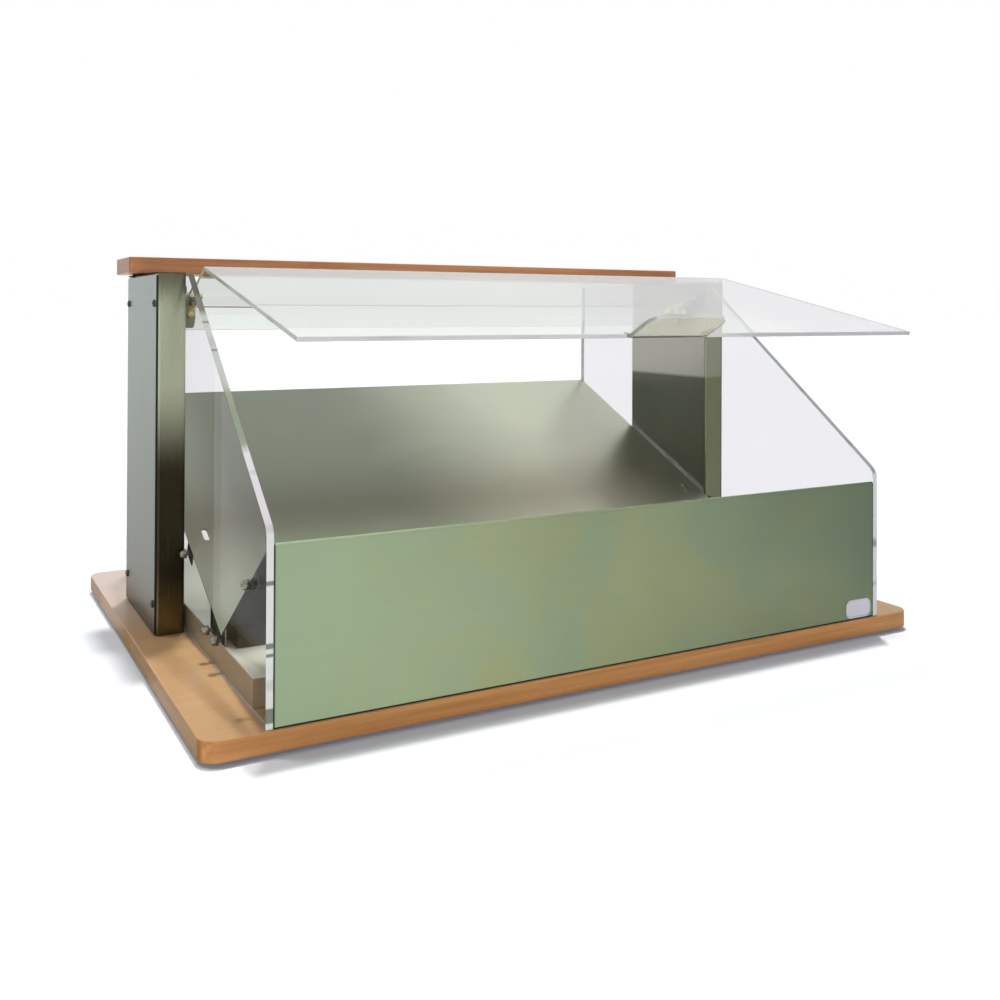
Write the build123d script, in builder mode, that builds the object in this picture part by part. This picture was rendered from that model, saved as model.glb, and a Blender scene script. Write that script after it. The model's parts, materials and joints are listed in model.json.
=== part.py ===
# Countertop bread display bin.
# Width runs along X, depth along Y with the customer side at -Y, height along +Z.
# The origin is the middle of the footprint on the table top. All sizes in millimetres.
import os
from math import atan2, cos, degrees, radians, sin, tan

from build123d import *

os.makedirs("parts", exist_ok=True)

# ---------------------------------------------------------------- driving sizes
base_side_margin = 20.7
base_front_margin = 2.0
base_rear_margin = 11.5
board_thickness = 18.0
base_corner = 16.0
board_edge = 1.5

foot_height = 3.0
foot_radius = 11.0
foot_inset = 45.0

inner_width = 655.6
panel_thickness = 6.0
panel_depth = 572.5
panel_nose_height = 154.8
panel_slope = 36.5
panel_nose_radius = 16.0
panel_tip_radius = 3.0

front_height = 146.0
sheet = 1.2
bend = 2.5
valley_y = 153.0
valley_z = 32.0
back_wall_inset = 1.0
back_wall_z = 220.4
back_hem = 9.0
end_gap = 0.3

post_front = 284.0
post_depth = 163.5
post_width = 29.0
post_height = 361.0
post_sheet = 1.5
post_corner = 2.5
post_lip = 18.0
cap_thickness = 3.0
cap_plate = 1.2
cap_pad_inset = 4.0
cap_side_gap = 0.2

cover_thickness = 1.5
cover_margin = 1.5
cover_corner = 2.5
cover_screw_bite = 4.0
cover_screw_inset = 11.0
cover_screw_from_end = 30.0

top_front = 392.5
top_depth = 83.5
top_overhang = 8.0
top_corner = 3.0

tray_front = 49.5
tray_rear_inset = 6.5
tray_height = 24.5
tray_foot = 22.0
tray_corner = 1.5

cradle_front = 130.0
cradle_rear = 184.0
cradle_end_gap = 9.0

lid_thickness = 4.0
lid_side_gap = 1.3
lid_bend_y = 241.9
lid_bend_above_post = 6.5
lid_length = 297.6
lid_slope = 12.02
flap_slope = 26.4
flap_run = 76.6
skirt_height = 25.9
lid_bend = 6.0
tab_width = 84.0
tab_length = 38.5
tab_offset = 15.0
tab_slope = 27.0
tab_corner = 14.0
tab_notch_width = 2.5
tab_notch_depth = 5.0

pivot_y = 332.9
pivot_below_post_top = 41.0
knuckle_radius = 14.6
knuckle_length = 12.0
pivot_bolt_radius = 4.0
pivot_washer = 1.0
ear_length = 24.0
ear_thickness = 3.4

badge_width = 35.5
badge_height = 19.5
badge_left = 615.5
badge_bottom = 1.5
badge_thickness = 0.8
badge_corner = 5.0

fit = 0.05
button_ratio = 1.9

# ---------------------------------------------------------------- derived frame
base_top = foot_height + board_thickness
half_inner = inner_width / 2
half_outer = half_inner + panel_thickness
post_outer = half_outer + post_width
base_width = 2 * (post_outer + base_side_margin)
base_depth = base_front_margin + panel_depth + base_rear_margin
front_y = -base_depth / 2 + base_front_margin
pivot_z = post_height - pivot_below_post_top
lid_bend_z = post_height + lid_bend_above_post
back_wall_y = panel_depth - back_wall_inset
tray_rear = panel_depth - tray_rear_inset


def at(y, z):
    """Point in a YZ sketch from its distance behind the front face and above the base."""
    return (front_y + y, base_top + z)


def yz(x):
    """Sketch plane across the width at x; local axes are Y and Z, normal is +X."""
    return Plane.YZ.offset(x)


def mirrored(part):
    """The same piece on the other end of the bin."""
    return mirror(part, about=Plane.YZ)


def save(part, name):
    part.label = name
    export_step(part, "parts/" + name + ".step")


def cylinder_x(y, z, radius, x0, x1, mode=Mode.ADD):
    """Round bar or hole along X between x0 and x1."""
    with BuildSketch(yz(min(x0, x1))) as disc:
        with Locations(at(y, z)):
            Circle(radius)
    extrude(disc.sketch, amount=abs(x1 - x0), mode=mode)


def hexagon_x(y, z, across_flats, x0, x1):
    """Hexagon nut blank along X."""
    with BuildSketch(yz(min(x0, x1))) as blank:
        with Locations(at(y, z)):
            RegularPolygon(across_flats / 2, 6, major_radius=False)
    extrude(blank.sketch, amount=abs(x1 - x0))


def bore_x(y, z, radius, x0, x1):
    cylinder_x(y, z, radius, x0, x1, Mode.SUBTRACT)


def disc_z(x, y, radius, z0, z1, mode=Mode.ADD):
    """Round bar or hole along Z, heights above the table."""
    with BuildSketch(Plane.XY.offset(z0)) as disc:
        with Locations((x, front_y + y)):
            Circle(radius)
    extrude(disc.sketch, amount=z1 - z0, mode=mode)


def hexagon_z(x, y, across_flats, z0, z1):
    with BuildSketch(Plane.XY.offset(z0)) as blank:
        with Locations((x, front_y + y)):
            RegularPolygon(across_flats / 2, 6, major_radius=False)
    extrude(blank.sketch, amount=z1 - z0)


# ---------------------------------------------------------------- fastener places
front_slope = degrees(atan2(front_height - valley_z, valley_y))
back_slope = degrees(atan2(back_wall_z - valley_z, back_wall_y - valley_y))

small_screw = 2.0
medium_screw = 2.5
large_screw = 3.0
tail = 1.0
small_head = small_screw * button_ratio
medium_head = medium_screw * button_ratio
large_head = large_screw * button_ratio
small_nut = 7.0
medium_nut = 8.0
large_nut = 10.0
small_nut_height = 3.2
medium_nut_height = 4.0
large_nut_height = 5.0
head_height = 2.2
head_dome = 1.2
medium_head_height = 3.0
large_head_height = 4.0
washer_thickness = 0.8

# screws that hold the two ends of the trough against the side panels
trough_screws = [(48.8, 101.8), (150.7, 28.2), (184.0, 29.0), (278.0, 80.5)]
# countersunk screws that hold each side panel to its post
low_screw_inset = 26.0
low_screw_z = 45.0
high_screw_inset = 18.0
high_screw_drop = 16.0
panel_screws = [
    (post_front + low_screw_inset, low_screw_z),
    (post_front + post_depth - low_screw_inset, low_screw_z),
    (post_front + high_screw_inset, post_height - high_screw_drop),
    (post_front + post_depth - high_screw_inset, post_height - high_screw_drop),
]
cover_screw_y = [post_front + cover_screw_inset, post_front + post_depth - cover_screw_inset]
cover_screw_z = [cover_screw_from_end, post_height - cover_screw_from_end]
post_mid_x = half_outer + post_width / 2
post_bolt_inset = 40.0
post_bolt_y = [post_front + post_bolt_inset, post_front + post_depth - post_bolt_inset]
top_screw_inset = 16.0
top_screw_y = [top_front + top_screw_inset, post_front + post_depth - top_screw_inset]
tray_bolt_inset = 90.0
tray_bolt_x = [-half_inner + tray_bolt_inset, half_inner - tray_bolt_inset]
tray_bolt_y = [tray_front + tray_foot / 2, tray_rear - tray_foot / 2]
cradle_screw_spacing = 220.0
cradle_screw_x = [-cradle_screw_spacing, 0.0, cradle_screw_spacing]
cradle_screw_inset = 12.0
cradle_screw_y = cradle_rear - cradle_screw_inset
foot_x = base_width / 2 - foot_inset
foot_y = [base_depth / 2 - foot_inset, -base_depth / 2 + foot_inset]
counterbore_depth = 5.0
counterbore_play = 1.0
foot_recess = 0.8
foot_screw_head = 3.4
foot_screw_head_height = 1.2
foot_screw_bite = 11.0
foot_screw_play = 0.4

# ---------------------------------------------------------------- base board
with BuildPart() as base_board:
    with BuildSketch(Plane.XY.offset(foot_height)):
        RectangleRounded(base_width, base_depth, base_corner)
    extrude(amount=board_thickness)
    top_rim = base_board.faces().sort_by(Axis.Z)[-1].edges()
    fillet(top_rim, board_edge)
    bottom_rim = base_board.faces().sort_by(Axis.Z)[0].edges()
    fillet(bottom_rim, board_edge)
    for side in (-1, 1):
        for y in post_bolt_y:
            disc_z(side * post_mid_x, y, large_screw + fit, foot_height, base_top, Mode.SUBTRACT)
            disc_z(side * post_mid_x, y, large_head + counterbore_play, foot_height,
                   foot_height + counterbore_depth, Mode.SUBTRACT)
    for x in tray_bolt_x:
        for y in tray_bolt_y:
            disc_z(x, y, medium_screw + fit, foot_height, base_top, Mode.SUBTRACT)
            disc_z(x, y, medium_head + counterbore_play, foot_height,
                   foot_height + counterbore_depth, Mode.SUBTRACT)
    for x in (-foot_x, foot_x):
        for y in foot_y:
            disc_z(x, y - front_y, small_screw + fit, foot_height,
                   foot_height + foot_screw_bite + tail, Mode.SUBTRACT)
save(base_board.part, "base_board")

# ---------------------------------------------------------------- feet
with BuildPart() as feet:
    for x in (-foot_x, foot_x):
        for y in foot_y:
            disc_z(x, y - front_y, foot_radius, 0, foot_height)
            disc_z(x, y - front_y, small_screw + fit, 0, foot_height, Mode.SUBTRACT)
            disc_z(x, y - front_y, foot_screw_head + foot_screw_play, 0,
                   foot_recess + foot_screw_head_height, Mode.SUBTRACT)
save(feet.part, "feet")

with BuildPart() as foot_screws:
    for x in (-foot_x, foot_x):
        for y in foot_y:
            head_top = foot_recess + foot_screw_head_height
            disc_z(x, y - front_y, foot_screw_head, foot_recess, head_top)
            disc_z(x, y - front_y, small_screw, head_top, foot_height + foot_screw_bite)
save(foot_screws.part, "foot_screws")

# ---------------------------------------------------------------- side panels
panel_slant_run = (post_height - panel_nose_height) / tan(radians(panel_slope))
with BuildPart() as side_panel_right:
    with BuildSketch(yz(half_inner)) as panel_outline:
        with BuildLine():
            Polyline(
                at(0, 0),
                at(0, panel_nose_height),
                at(panel_slant_run, post_height),
                at(panel_depth, post_height),
                at(panel_depth, 0),
                close=True,
            )
        make_face()
        nose = panel_outline.vertices().sort_by_distance((front_y, base_top + panel_nose_height))[0]
        fillet(nose, panel_nose_radius)
        tip_target = (front_y + panel_slant_run, base_top + post_height)
        tip = panel_outline.vertices().sort_by_distance(tip_target)[0]
        fillet(tip, panel_tip_radius)
    extrude(amount=panel_thickness)
    for y, z in trough_screws:
        bore_x(y, z, small_screw + fit, half_inner, half_outer)
    for y, z in panel_screws:
        bore_x(y, z, medium_screw + fit, half_inner, half_outer)
        with BuildSketch(yz(half_inner)):
            with Locations(at(y, z)):
                Circle(medium_head)
        extrude(amount=medium_head - medium_screw, taper=45, mode=Mode.SUBTRACT)
    bore_x(pivot_y, pivot_z, pivot_bolt_radius + fit, half_inner, half_outer)
save(side_panel_right.part, "side_panel_right")
save(mirrored(side_panel_right.part), "side_panel_left")

# ---------------------------------------------------------------- folded bread trough
trough_half = half_inner - end_gap


def below_wall(start_y, start_z, slope, along, drop):
    """Point reached by going along a sloping wall and then square down from its face."""
    a = radians(slope)
    y = start_y + along * cos(a) + drop * sin(a)
    z = start_z + along * sin(a) - drop * cos(a)
    return at(y, z)


lug_reach = 14.0
lug_half = 11.0
front_lug_shift = 4.0
back_lug_shift = 3.0
front_lug_along = trough_screws[0][0] / cos(radians(front_slope)) + front_lug_shift
back_lug_along = (trough_screws[3][0] - valley_y) / cos(radians(back_slope)) - back_lug_shift
valley_tab_gap = 0.5
valley_tab_bottom = tray_height + valley_tab_gap
valley_tab_front = 13.5
valley_tab_margin = 8.0
slot_length = 18.0
slot_width = 5.5
slot_y = 292.5
slot_from_end = 19.0
slot_cut = 20.0


def front_wall_z(y):
    """Height of the upper face of the front wall of the trough."""
    return front_height - y * tan(radians(front_slope))


def back_wall_upper_z(y):
    """Height of the upper face of the back wall of the trough."""
    return valley_z + (y - valley_y) * tan(radians(back_slope))


def wall_lug(x, start_y, start_z, slope, along):
    """Tab turned down square from a sloping wall, flat against the side panel."""
    with BuildSketch(yz(x)) as lug:
        with BuildLine():
            Polyline(
                below_wall(start_y, start_z, slope, along - lug_half, sheet / 2),
                below_wall(start_y, start_z, slope, along + lug_half, sheet / 2),
                below_wall(start_y, start_z, slope, along + lug_half, lug_reach),
                below_wall(start_y, start_z, slope, along - lug_half, lug_reach),
                close=True,
            )
        make_face()
    extrude(lug.sketch, amount=sheet)


def valley_tab(x):
    """Tab below the valley that takes the two lower end screws."""
    first = valley_y - valley_tab_front
    last = trough_screws[2][0] + valley_tab_margin
    with BuildSketch(yz(x)) as tab:
        with BuildLine():
            Polyline(
                at(first, valley_tab_bottom),
                at(first, front_wall_z(first) - sheet),
                at(valley_y, valley_z - sheet / 2),
                at(last, back_wall_upper_z(last) - sheet),
                at(last, valley_tab_bottom),
                close=True,
            )
        make_face()
    extrude(tab.sketch, amount=sheet)


with BuildPart() as bread_trough:
    with BuildSketch(yz(-trough_half)):
        with BuildLine():
            FilletPolyline(
                at(0, 0),
                at(0, front_height),
                at(valley_y, valley_z),
                at(back_wall_y, back_wall_z),
                at(back_wall_y, back_wall_z - back_hem),
                radius=bend,
            )
            offset(amount=sheet, side=Side.RIGHT)
        make_face()
    extrude(amount=2 * trough_half)
    for lug_x in (trough_half - sheet, -trough_half):
        wall_lug(lug_x, 0, front_height, -front_slope, front_lug_along)
        wall_lug(lug_x, valley_y, valley_z, back_slope, back_lug_along)
        valley_tab(lug_x)
    for y, z in trough_screws:
        bore_x(y, z, small_screw + fit, trough_half - sheet, trough_half)
        bore_x(y, z, small_screw + fit, -trough_half, -trough_half + sheet)
    with BuildSketch(Plane.XY.offset(base_top + back_wall_upper_z(slot_y) - slot_cut)):
        with Locations((half_inner - slot_from_end, front_y + slot_y),
                       (slot_from_end - half_inner, front_y + slot_y)):
            SlotOverall(slot_length, slot_width, rotation=90)
    extrude(amount=2 * slot_cut, mode=Mode.SUBTRACT)
save(bread_trough.part, "bread_trough")

# screws, washers and clinch nuts at the trough ends
clinch_radius = 3.0
clinch_height = 2.5
washer_radius = 4.6
trough_screw_head = 4.5
trough_head_height = 5.6
trough_head_dome = 4.0
with BuildPart() as trough_screws_right:
    head_start = half_outer + washer_thickness
    for y, z in trough_screws:
        cylinder_x(y, z, trough_screw_head, head_start, head_start + trough_head_height)
        cylinder_x(y, z, small_screw, trough_half - sheet - clinch_height - tail, head_start)
    dome = trough_screws_right.edges().filter_by(GeomType.CIRCLE).group_by(Axis.X)[-1]
    fillet(dome, trough_head_dome)
save(trough_screws_right.part, "trough_screws_right")
save(mirrored(trough_screws_right.part), "trough_screws_left")

with BuildPart() as trough_washers_right:
    for y, z in trough_screws:
        cylinder_x(y, z, washer_radius, half_outer, half_outer + washer_thickness)
        bore_x(y, z, small_screw + fit, half_outer, half_outer + washer_thickness)
save(trough_washers_right.part, "trough_washers_right")
save(mirrored(trough_washers_right.part), "trough_washers_left")

with BuildPart() as clinch_nuts_right:
    clinch_end = trough_half - sheet
    for y, z in trough_screws:
        cylinder_x(y, z, clinch_radius, clinch_end - clinch_height, clinch_end)
        bore_x(y, z, small_screw + fit, clinch_end - clinch_height, clinch_end)
save(clinch_nuts_right.part, "clinch_nuts_right")
save(mirrored(clinch_nuts_right.part), "clinch_nuts_left")

# ---------------------------------------------------------------- floor tray and cradle
tray_mid_y = front_y + (tray_front + tray_rear) / 2
tray_depth = tray_rear - tray_front
with BuildPart() as floor_tray:
    with BuildSketch(Plane.XY.offset(base_top)):
        with Locations((0, tray_mid_y)):
            Rectangle(2 * trough_half, tray_depth)
    extrude(amount=tray_height)
    tray_top_edges = floor_tray.faces().sort_by(Axis.Z)[-1].edges()
    fillet(tray_top_edges, tray_corner)
    with BuildSketch(Plane.XY.offset(base_top)):
        with Locations((0, tray_mid_y)):
            Rectangle(2 * trough_half - 2 * sheet, tray_depth - 2 * sheet)
    extrude(amount=tray_height - sheet, mode=Mode.SUBTRACT)
    with BuildSketch(Plane.XY.offset(base_top)):
        with Locations((0, front_y + tray_front + tray_foot / 2), (0, front_y + tray_rear - tray_foot / 2)):
            Rectangle(2 * trough_half, tray_foot)
    extrude(amount=sheet)
    for x in tray_bolt_x:
        for y in tray_bolt_y:
            disc_z(x, y, medium_screw + fit, base_top, base_top + sheet, Mode.SUBTRACT)
    for x in cradle_screw_x:
        disc_z(x, cradle_screw_y, small_screw + fit, base_top + tray_height - sheet,
               base_top + tray_height, Mode.SUBTRACT)
save(floor_tray.part, "floor_tray")

with BuildPart() as tray_bolts:
    for x in tray_bolt_x:
        for y in tray_bolt_y:
            head_top = foot_height + counterbore_depth
            disc_z(x, y, medium_head, head_top - medium_head_height, head_top)
            disc_z(x, y, medium_screw, head_top, base_top + sheet + medium_nut_height + tail)
save(tray_bolts.part, "tray_bolts")

with BuildPart() as tray_nuts:
    for x in tray_bolt_x:
        for y in tray_bolt_y:
            nut_bottom = base_top + sheet
            hexagon_z(x, y, medium_nut, nut_bottom, nut_bottom + medium_nut_height)
            disc_z(x, y, medium_screw + fit, nut_bottom, nut_bottom + medium_nut_height, Mode.SUBTRACT)
save(tray_nuts.part, "tray_nuts")

cradle_half = half_inner - cradle_end_gap
wall_gap = 0.2
cradle_front_top = front_wall_z(cradle_front + sheet) - sheet / cos(radians(front_slope)) - wall_gap
cradle_rear_top = back_wall_upper_z(cradle_rear - sheet) - sheet / cos(radians(back_slope)) - wall_gap
with BuildPart() as trough_cradle:
    with BuildSketch(yz(-cradle_half)):
        with BuildLine():
            FilletPolyline(
                at(cradle_front, cradle_front_top),
                at(cradle_front, tray_height),
                at(cradle_rear, tray_height),
                at(cradle_rear, cradle_rear_top),
                radius=bend,
            )
            offset(amount=sheet, side=Side.LEFT)
        make_face()
    extrude(amount=2 * cradle_half)
    for x in cradle_screw_x:
        disc_z(x, cradle_screw_y, small_screw + fit, base_top + tray_height,
               base_top + tray_height + sheet, Mode.SUBTRACT)
save(trough_cradle.part, "trough_cradle")

with BuildPart() as cradle_screws:
    for x in cradle_screw_x:
        web_top = base_top + tray_height + sheet
        nut_bottom = base_top + tray_height - sheet - small_nut_height
        disc_z(x, cradle_screw_y, small_head, web_top, web_top + head_height)
        disc_z(x, cradle_screw_y, small_screw, nut_bottom - tail, web_top)
save(cradle_screws.part, "cradle_screws")

with BuildPart() as cradle_nuts:
    for x in cradle_screw_x:
        nut_top = base_top + tray_height - sheet
        hexagon_z(x, cradle_screw_y, small_nut, nut_top - small_nut_height, nut_top)
        disc_z(x, cradle_screw_y, small_screw + fit, nut_top - small_nut_height, nut_top, Mode.SUBTRACT)
save(cradle_nuts.part, "cradle_nuts")

# ---------------------------------------------------------------- posts
post_rear = post_front + post_depth
post_skin_outer = post_outer - cover_thickness
plate_inset = 0.6


def post_plan(x, y):
    """Point in a plan sketch from its X place and its distance behind the front face."""
    return (x, front_y + y)


def post_plate(z0):
    """Closing plate across the channel at one end of the post."""
    plate_x0 = half_outer + plate_inset
    plate_x1 = post_skin_outer - post_sheet - plate_inset
    with BuildSketch(Plane.XY.offset(z0)) as plate:
        with Locations(post_plan((plate_x0 + plate_x1) / 2, (post_front + post_rear) / 2)):
            Rectangle(plate_x1 - plate_x0, post_depth - 2 * plate_inset)
    extrude(plate.sketch, amount=post_sheet)


with BuildPart() as post_right:
    with BuildSketch(Plane.XY.offset(base_top)):
        with BuildLine():
            FilletPolyline(
                post_plan(post_skin_outer, post_front + post_lip),
                post_plan(post_skin_outer, post_front),
                post_plan(half_outer, post_front),
                post_plan(half_outer, post_rear),
                post_plan(post_skin_outer, post_rear),
                post_plan(post_skin_outer, post_rear - post_lip),
                radius=post_corner,
            )
            offset(amount=post_sheet, side=Side.RIGHT)
        make_face()
    extrude(amount=post_height)
    post_plate(base_top)
    post_plate(base_top + post_height - post_sheet)
    for y in post_bolt_y:
        disc_z(post_mid_x, y, large_screw + fit, base_top, base_top + post_sheet, Mode.SUBTRACT)
    for y in top_screw_y:
        disc_z(post_mid_x, y, medium_screw + fit, base_top + post_height - post_sheet,
               base_top + post_height, Mode.SUBTRACT)
    for y, z in panel_screws:
        bore_x(y, z, medium_screw + fit, half_outer, half_outer + post_sheet)
    bore_x(pivot_y, pivot_z, pivot_bolt_radius + fit, half_outer, half_outer + post_sheet)
    for y in cover_screw_y:
        for z in cover_screw_z:
            bore_x(y, z, small_screw + fit, post_skin_outer - post_sheet, post_skin_outer)
save(post_right.part, "post_right")
save(mirrored(post_right.part), "post_left")

with BuildPart() as post_cover_right:
    cover_mid_z = base_top + post_height / 2
    with BuildSketch(yz(post_skin_outer)):
        with Locations((front_y + (post_front + post_rear) / 2, cover_mid_z)):
            RectangleRounded(post_depth - 2 * cover_margin, post_height - 2 * cover_margin, cover_corner)
    extrude(amount=cover_thickness)
    for y in cover_screw_y:
        for z in cover_screw_z:
            bore_x(y, z, small_screw + fit, post_skin_outer, post_outer)
save(post_cover_right.part, "post_cover_right")
save(mirrored(post_cover_right.part), "post_cover_left")

with BuildPart() as cover_screws_right:
    for y in cover_screw_y:
        for z in cover_screw_z:
            cylinder_x(y, z, small_head, post_outer, post_outer + head_height)
            cylinder_x(y, z, small_screw, post_skin_outer - post_sheet - cover_screw_bite, post_outer)
    cover_domes = cover_screws_right.edges().filter_by(GeomType.CIRCLE).group_by(Axis.X)[-1]
    fillet(cover_domes, head_dome)
save(cover_screws_right.part, "cover_screws_right")
save(mirrored(cover_screws_right.part), "cover_screws_left")

with BuildPart() as post_cap_right:
    with BuildSketch(Plane.XY.offset(base_top + post_height)):
        with Locations(post_plan((half_outer + post_outer) / 2, (post_front + post_rear) / 2)):
            RectangleRounded(post_width - 2 * cap_side_gap, post_depth, post_corner)
    extrude(amount=cap_plate)
    pad_front = top_front + cap_pad_inset
    pad_rear = post_rear - cap_pad_inset
    with BuildSketch(Plane.XY.offset(base_top + post_height + cap_plate)):
        with Locations(post_plan((half_outer + post_outer) / 2, (pad_front + pad_rear) / 2)):
            Rectangle(post_width - 2 * cap_pad_inset, pad_rear - pad_front)
    extrude(amount=cap_thickness - cap_plate)
    for y in top_screw_y:
        disc_z(post_mid_x, y, medium_screw + fit, base_top + post_height,
               base_top + post_height + cap_thickness, Mode.SUBTRACT)
save(post_cap_right.part, "post_cap_right")
save(mirrored(post_cap_right.part), "post_cap_left")

with BuildPart() as post_bolts:
    for side in (-1, 1):
        for y in post_bolt_y:
            head_top = foot_height + counterbore_depth
            disc_z(side * post_mid_x, y, large_head, head_top - large_head_height, head_top)
            disc_z(side * post_mid_x, y, large_screw, head_top,
                   base_top + post_sheet + large_nut_height + tail)
save(post_bolts.part, "post_bolts")

with BuildPart() as post_nuts:
    for side in (-1, 1):
        for y in post_bolt_y:
            nut_bottom = base_top + post_sheet
            hexagon_z(side * post_mid_x, y, large_nut, nut_bottom, nut_bottom + large_nut_height)
            disc_z(side * post_mid_x, y, large_screw + fit, nut_bottom,
                   nut_bottom + large_nut_height, Mode.SUBTRACT)
save(post_nuts.part, "post_nuts")

countersunk_radius = medium_head - fit
with BuildPart() as panel_screws_right:
    for y, z in panel_screws:
        with BuildSketch(yz(half_inner)):
            with Locations(at(y, z)):
                Circle(countersunk_radius)
        extrude(amount=countersunk_radius - medium_screw, taper=45)
        cylinder_x(y, z, medium_screw, half_inner, half_outer + post_sheet + medium_nut_height + tail)
save(panel_screws_right.part, "panel_screws_right")
save(mirrored(panel_screws_right.part), "panel_screws_left")

with BuildPart() as panel_nuts_right:
    nut_start = half_outer + post_sheet
    for y, z in panel_screws:
        hexagon_x(y, z, medium_nut, nut_start, nut_start + medium_nut_height)
        bore_x(y, z, medium_screw + fit, nut_start, nut_start + medium_nut_height)
save(panel_nuts_right.part, "panel_nuts_right")
save(mirrored(panel_nuts_right.part), "panel_nuts_left")

# ---------------------------------------------------------------- top board
top_bottom_z = base_top + post_height + cap_thickness
top_screw_bite = 12.0
with BuildPart() as top_board:
    with BuildSketch(Plane.XY.offset(top_bottom_z)):
        with Locations((0, front_y + top_front + top_depth / 2)):
            RectangleRounded(2 * (post_outer + top_overhang), top_depth, top_corner)
    extrude(amount=board_thickness)
    top_board_rim = top_board.faces().sort_by(Axis.Z)[-1].edges()
    fillet(top_board_rim, board_edge)
    under_board_rim = top_board.faces().sort_by(Axis.Z)[0].edges()
    fillet(under_board_rim, board_edge)
    for side in (-1, 1):
        for y in top_screw_y:
            disc_z(side * post_mid_x, y, medium_screw + fit, top_bottom_z,
                   top_bottom_z + top_screw_bite + tail, Mode.SUBTRACT)
save(top_board.part, "top_board")

with BuildPart() as top_board_screws:
    for side in (-1, 1):
        for y in top_screw_y:
            head_top = base_top + post_height - post_sheet
            disc_z(side * post_mid_x, y, medium_head, head_top - medium_head_height, head_top)
            disc_z(side * post_mid_x, y, medium_screw, head_top, top_bottom_z + top_screw_bite)
save(top_board_screws.part, "top_board_screws")

# ---------------------------------------------------------------- lid
lid_half = half_inner - lid_side_gap
lid_rise = radians(lid_slope)
flap_fall = radians(flap_slope)
lid_front_y = lid_bend_y - lid_length * cos(lid_rise)
lid_front_z = lid_bend_z - lid_length * sin(lid_rise)
flap_end_y = lid_bend_y + flap_run
flap_end_z = lid_bend_z - flap_run * tan(flap_fall)
skirt_bottom_z = flap_end_z - skirt_height
tab_rise = radians(tab_slope)
tab_tip_y = lid_front_y - tab_length * cos(tab_rise)
tab_tip_z = lid_front_z + tab_length * sin(tab_rise)
tab_root = 14.0
knuckle_outer = half_inner - lid_side_gap
knuckle_inner = knuckle_outer - knuckle_length
knuckle_mid = (knuckle_outer + knuckle_inner) / 2
ear_screw_along = 15.0
ear_screw_y = flap_end_y - ear_screw_along * cos(flap_fall)
ear_screw_z = flap_end_z + ear_screw_along * sin(flap_fall)
skirt_screw_drop = 0.5
skirt_screw_z = pivot_z - skirt_screw_drop
ear_axis = Plane(
    origin=(0, front_y + ear_screw_y, base_top + ear_screw_z),
    x_dir=(1, 0, 0),
    z_dir=(0, sin(flap_fall), cos(flap_fall)),
)
skirt_axis = Plane(
    origin=(0, front_y + flap_end_y - lid_thickness, base_top + skirt_screw_z),
    x_dir=(1, 0, 0),
    z_dir=(0, 1, 0),
)


def disc_on(plane, x, radius, start, length, mode=Mode.ADD):
    """Round bar or hole square to a plane, starting a given height above it."""
    with BuildSketch(plane.offset(start)) as disc:
        with Locations((x, 0)):
            Circle(radius)
    extrude(disc.sketch, amount=length, mode=mode)


with BuildPart() as lid:
    with BuildSketch(yz(-lid_half)):
        with BuildLine():
            FilletPolyline(
                at(lid_front_y, lid_front_z),
                at(lid_bend_y, lid_bend_z),
                at(flap_end_y, flap_end_z),
                at(flap_end_y, skirt_bottom_z),
                radius=lid_bend,
            )
            offset(amount=lid_thickness, side=Side.RIGHT)
        make_face()
    extrude(amount=2 * lid_half)
    with BuildSketch(yz(tab_offset - tab_width / 2)):
        with BuildLine():
            FilletPolyline(
                at(lid_front_y + tab_root * cos(lid_rise), lid_front_z + tab_root * sin(lid_rise)),
                at(lid_front_y, lid_front_z),
                at(tab_tip_y, tab_tip_z),
                radius=lid_bend,
            )
            offset(amount=lid_thickness, side=Side.LEFT)
        make_face()
    extrude(amount=tab_width)
    tab_tip_edges = lid.edges().filter_by(Plane.YZ).filter_by(
        lambda edge: abs(edge.length - lid_thickness) < 0.01).sort_by(Axis.Y)[:2]
    fillet(tab_tip_edges, tab_corner)
    notch_centre = tab_width / 2 + tab_notch_width / 2
    with BuildSketch(Plane.XY.offset(base_top + lid_front_z - 3 * lid_thickness)):
        with Locations((tab_offset - notch_centre, front_y + lid_front_y),
                       (tab_offset + notch_centre, front_y + lid_front_y)):
            Rectangle(tab_notch_width, 2 * tab_notch_depth)
    extrude(amount=6 * lid_thickness, mode=Mode.SUBTRACT)
    for side in (-1, 1):
        disc_on(ear_axis, side * knuckle_mid, small_screw + fit, -lid_thickness - tail,
                lid_thickness + 2 * tail, Mode.SUBTRACT)
        disc_on(skirt_axis, side * knuckle_mid, small_screw + fit, -tail, lid_thickness + 2 * tail,
                Mode.SUBTRACT)
save(lid.part, "lid")

# ---------------------------------------------------------------- hinge knuckles
head_recess_radius = 7.0
head_recess_depth = 5.2
pivot_head_radius = 6.5
pivot_head_height = 4.5
pivot_washer_radius = 9.0
pivot_nut = 13.0
pivot_nut_height = 6.5
running_gap = 0.3
skirt_screw_bite = 6.0


def ear_point(along, above):
    """Point along the upper face of the flap measured up from its rear edge."""
    y = flap_end_y - along * cos(flap_fall) + above * sin(flap_fall)
    z = flap_end_z + along * sin(flap_fall) + above * cos(flap_fall)
    return at(y, z)


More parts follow.
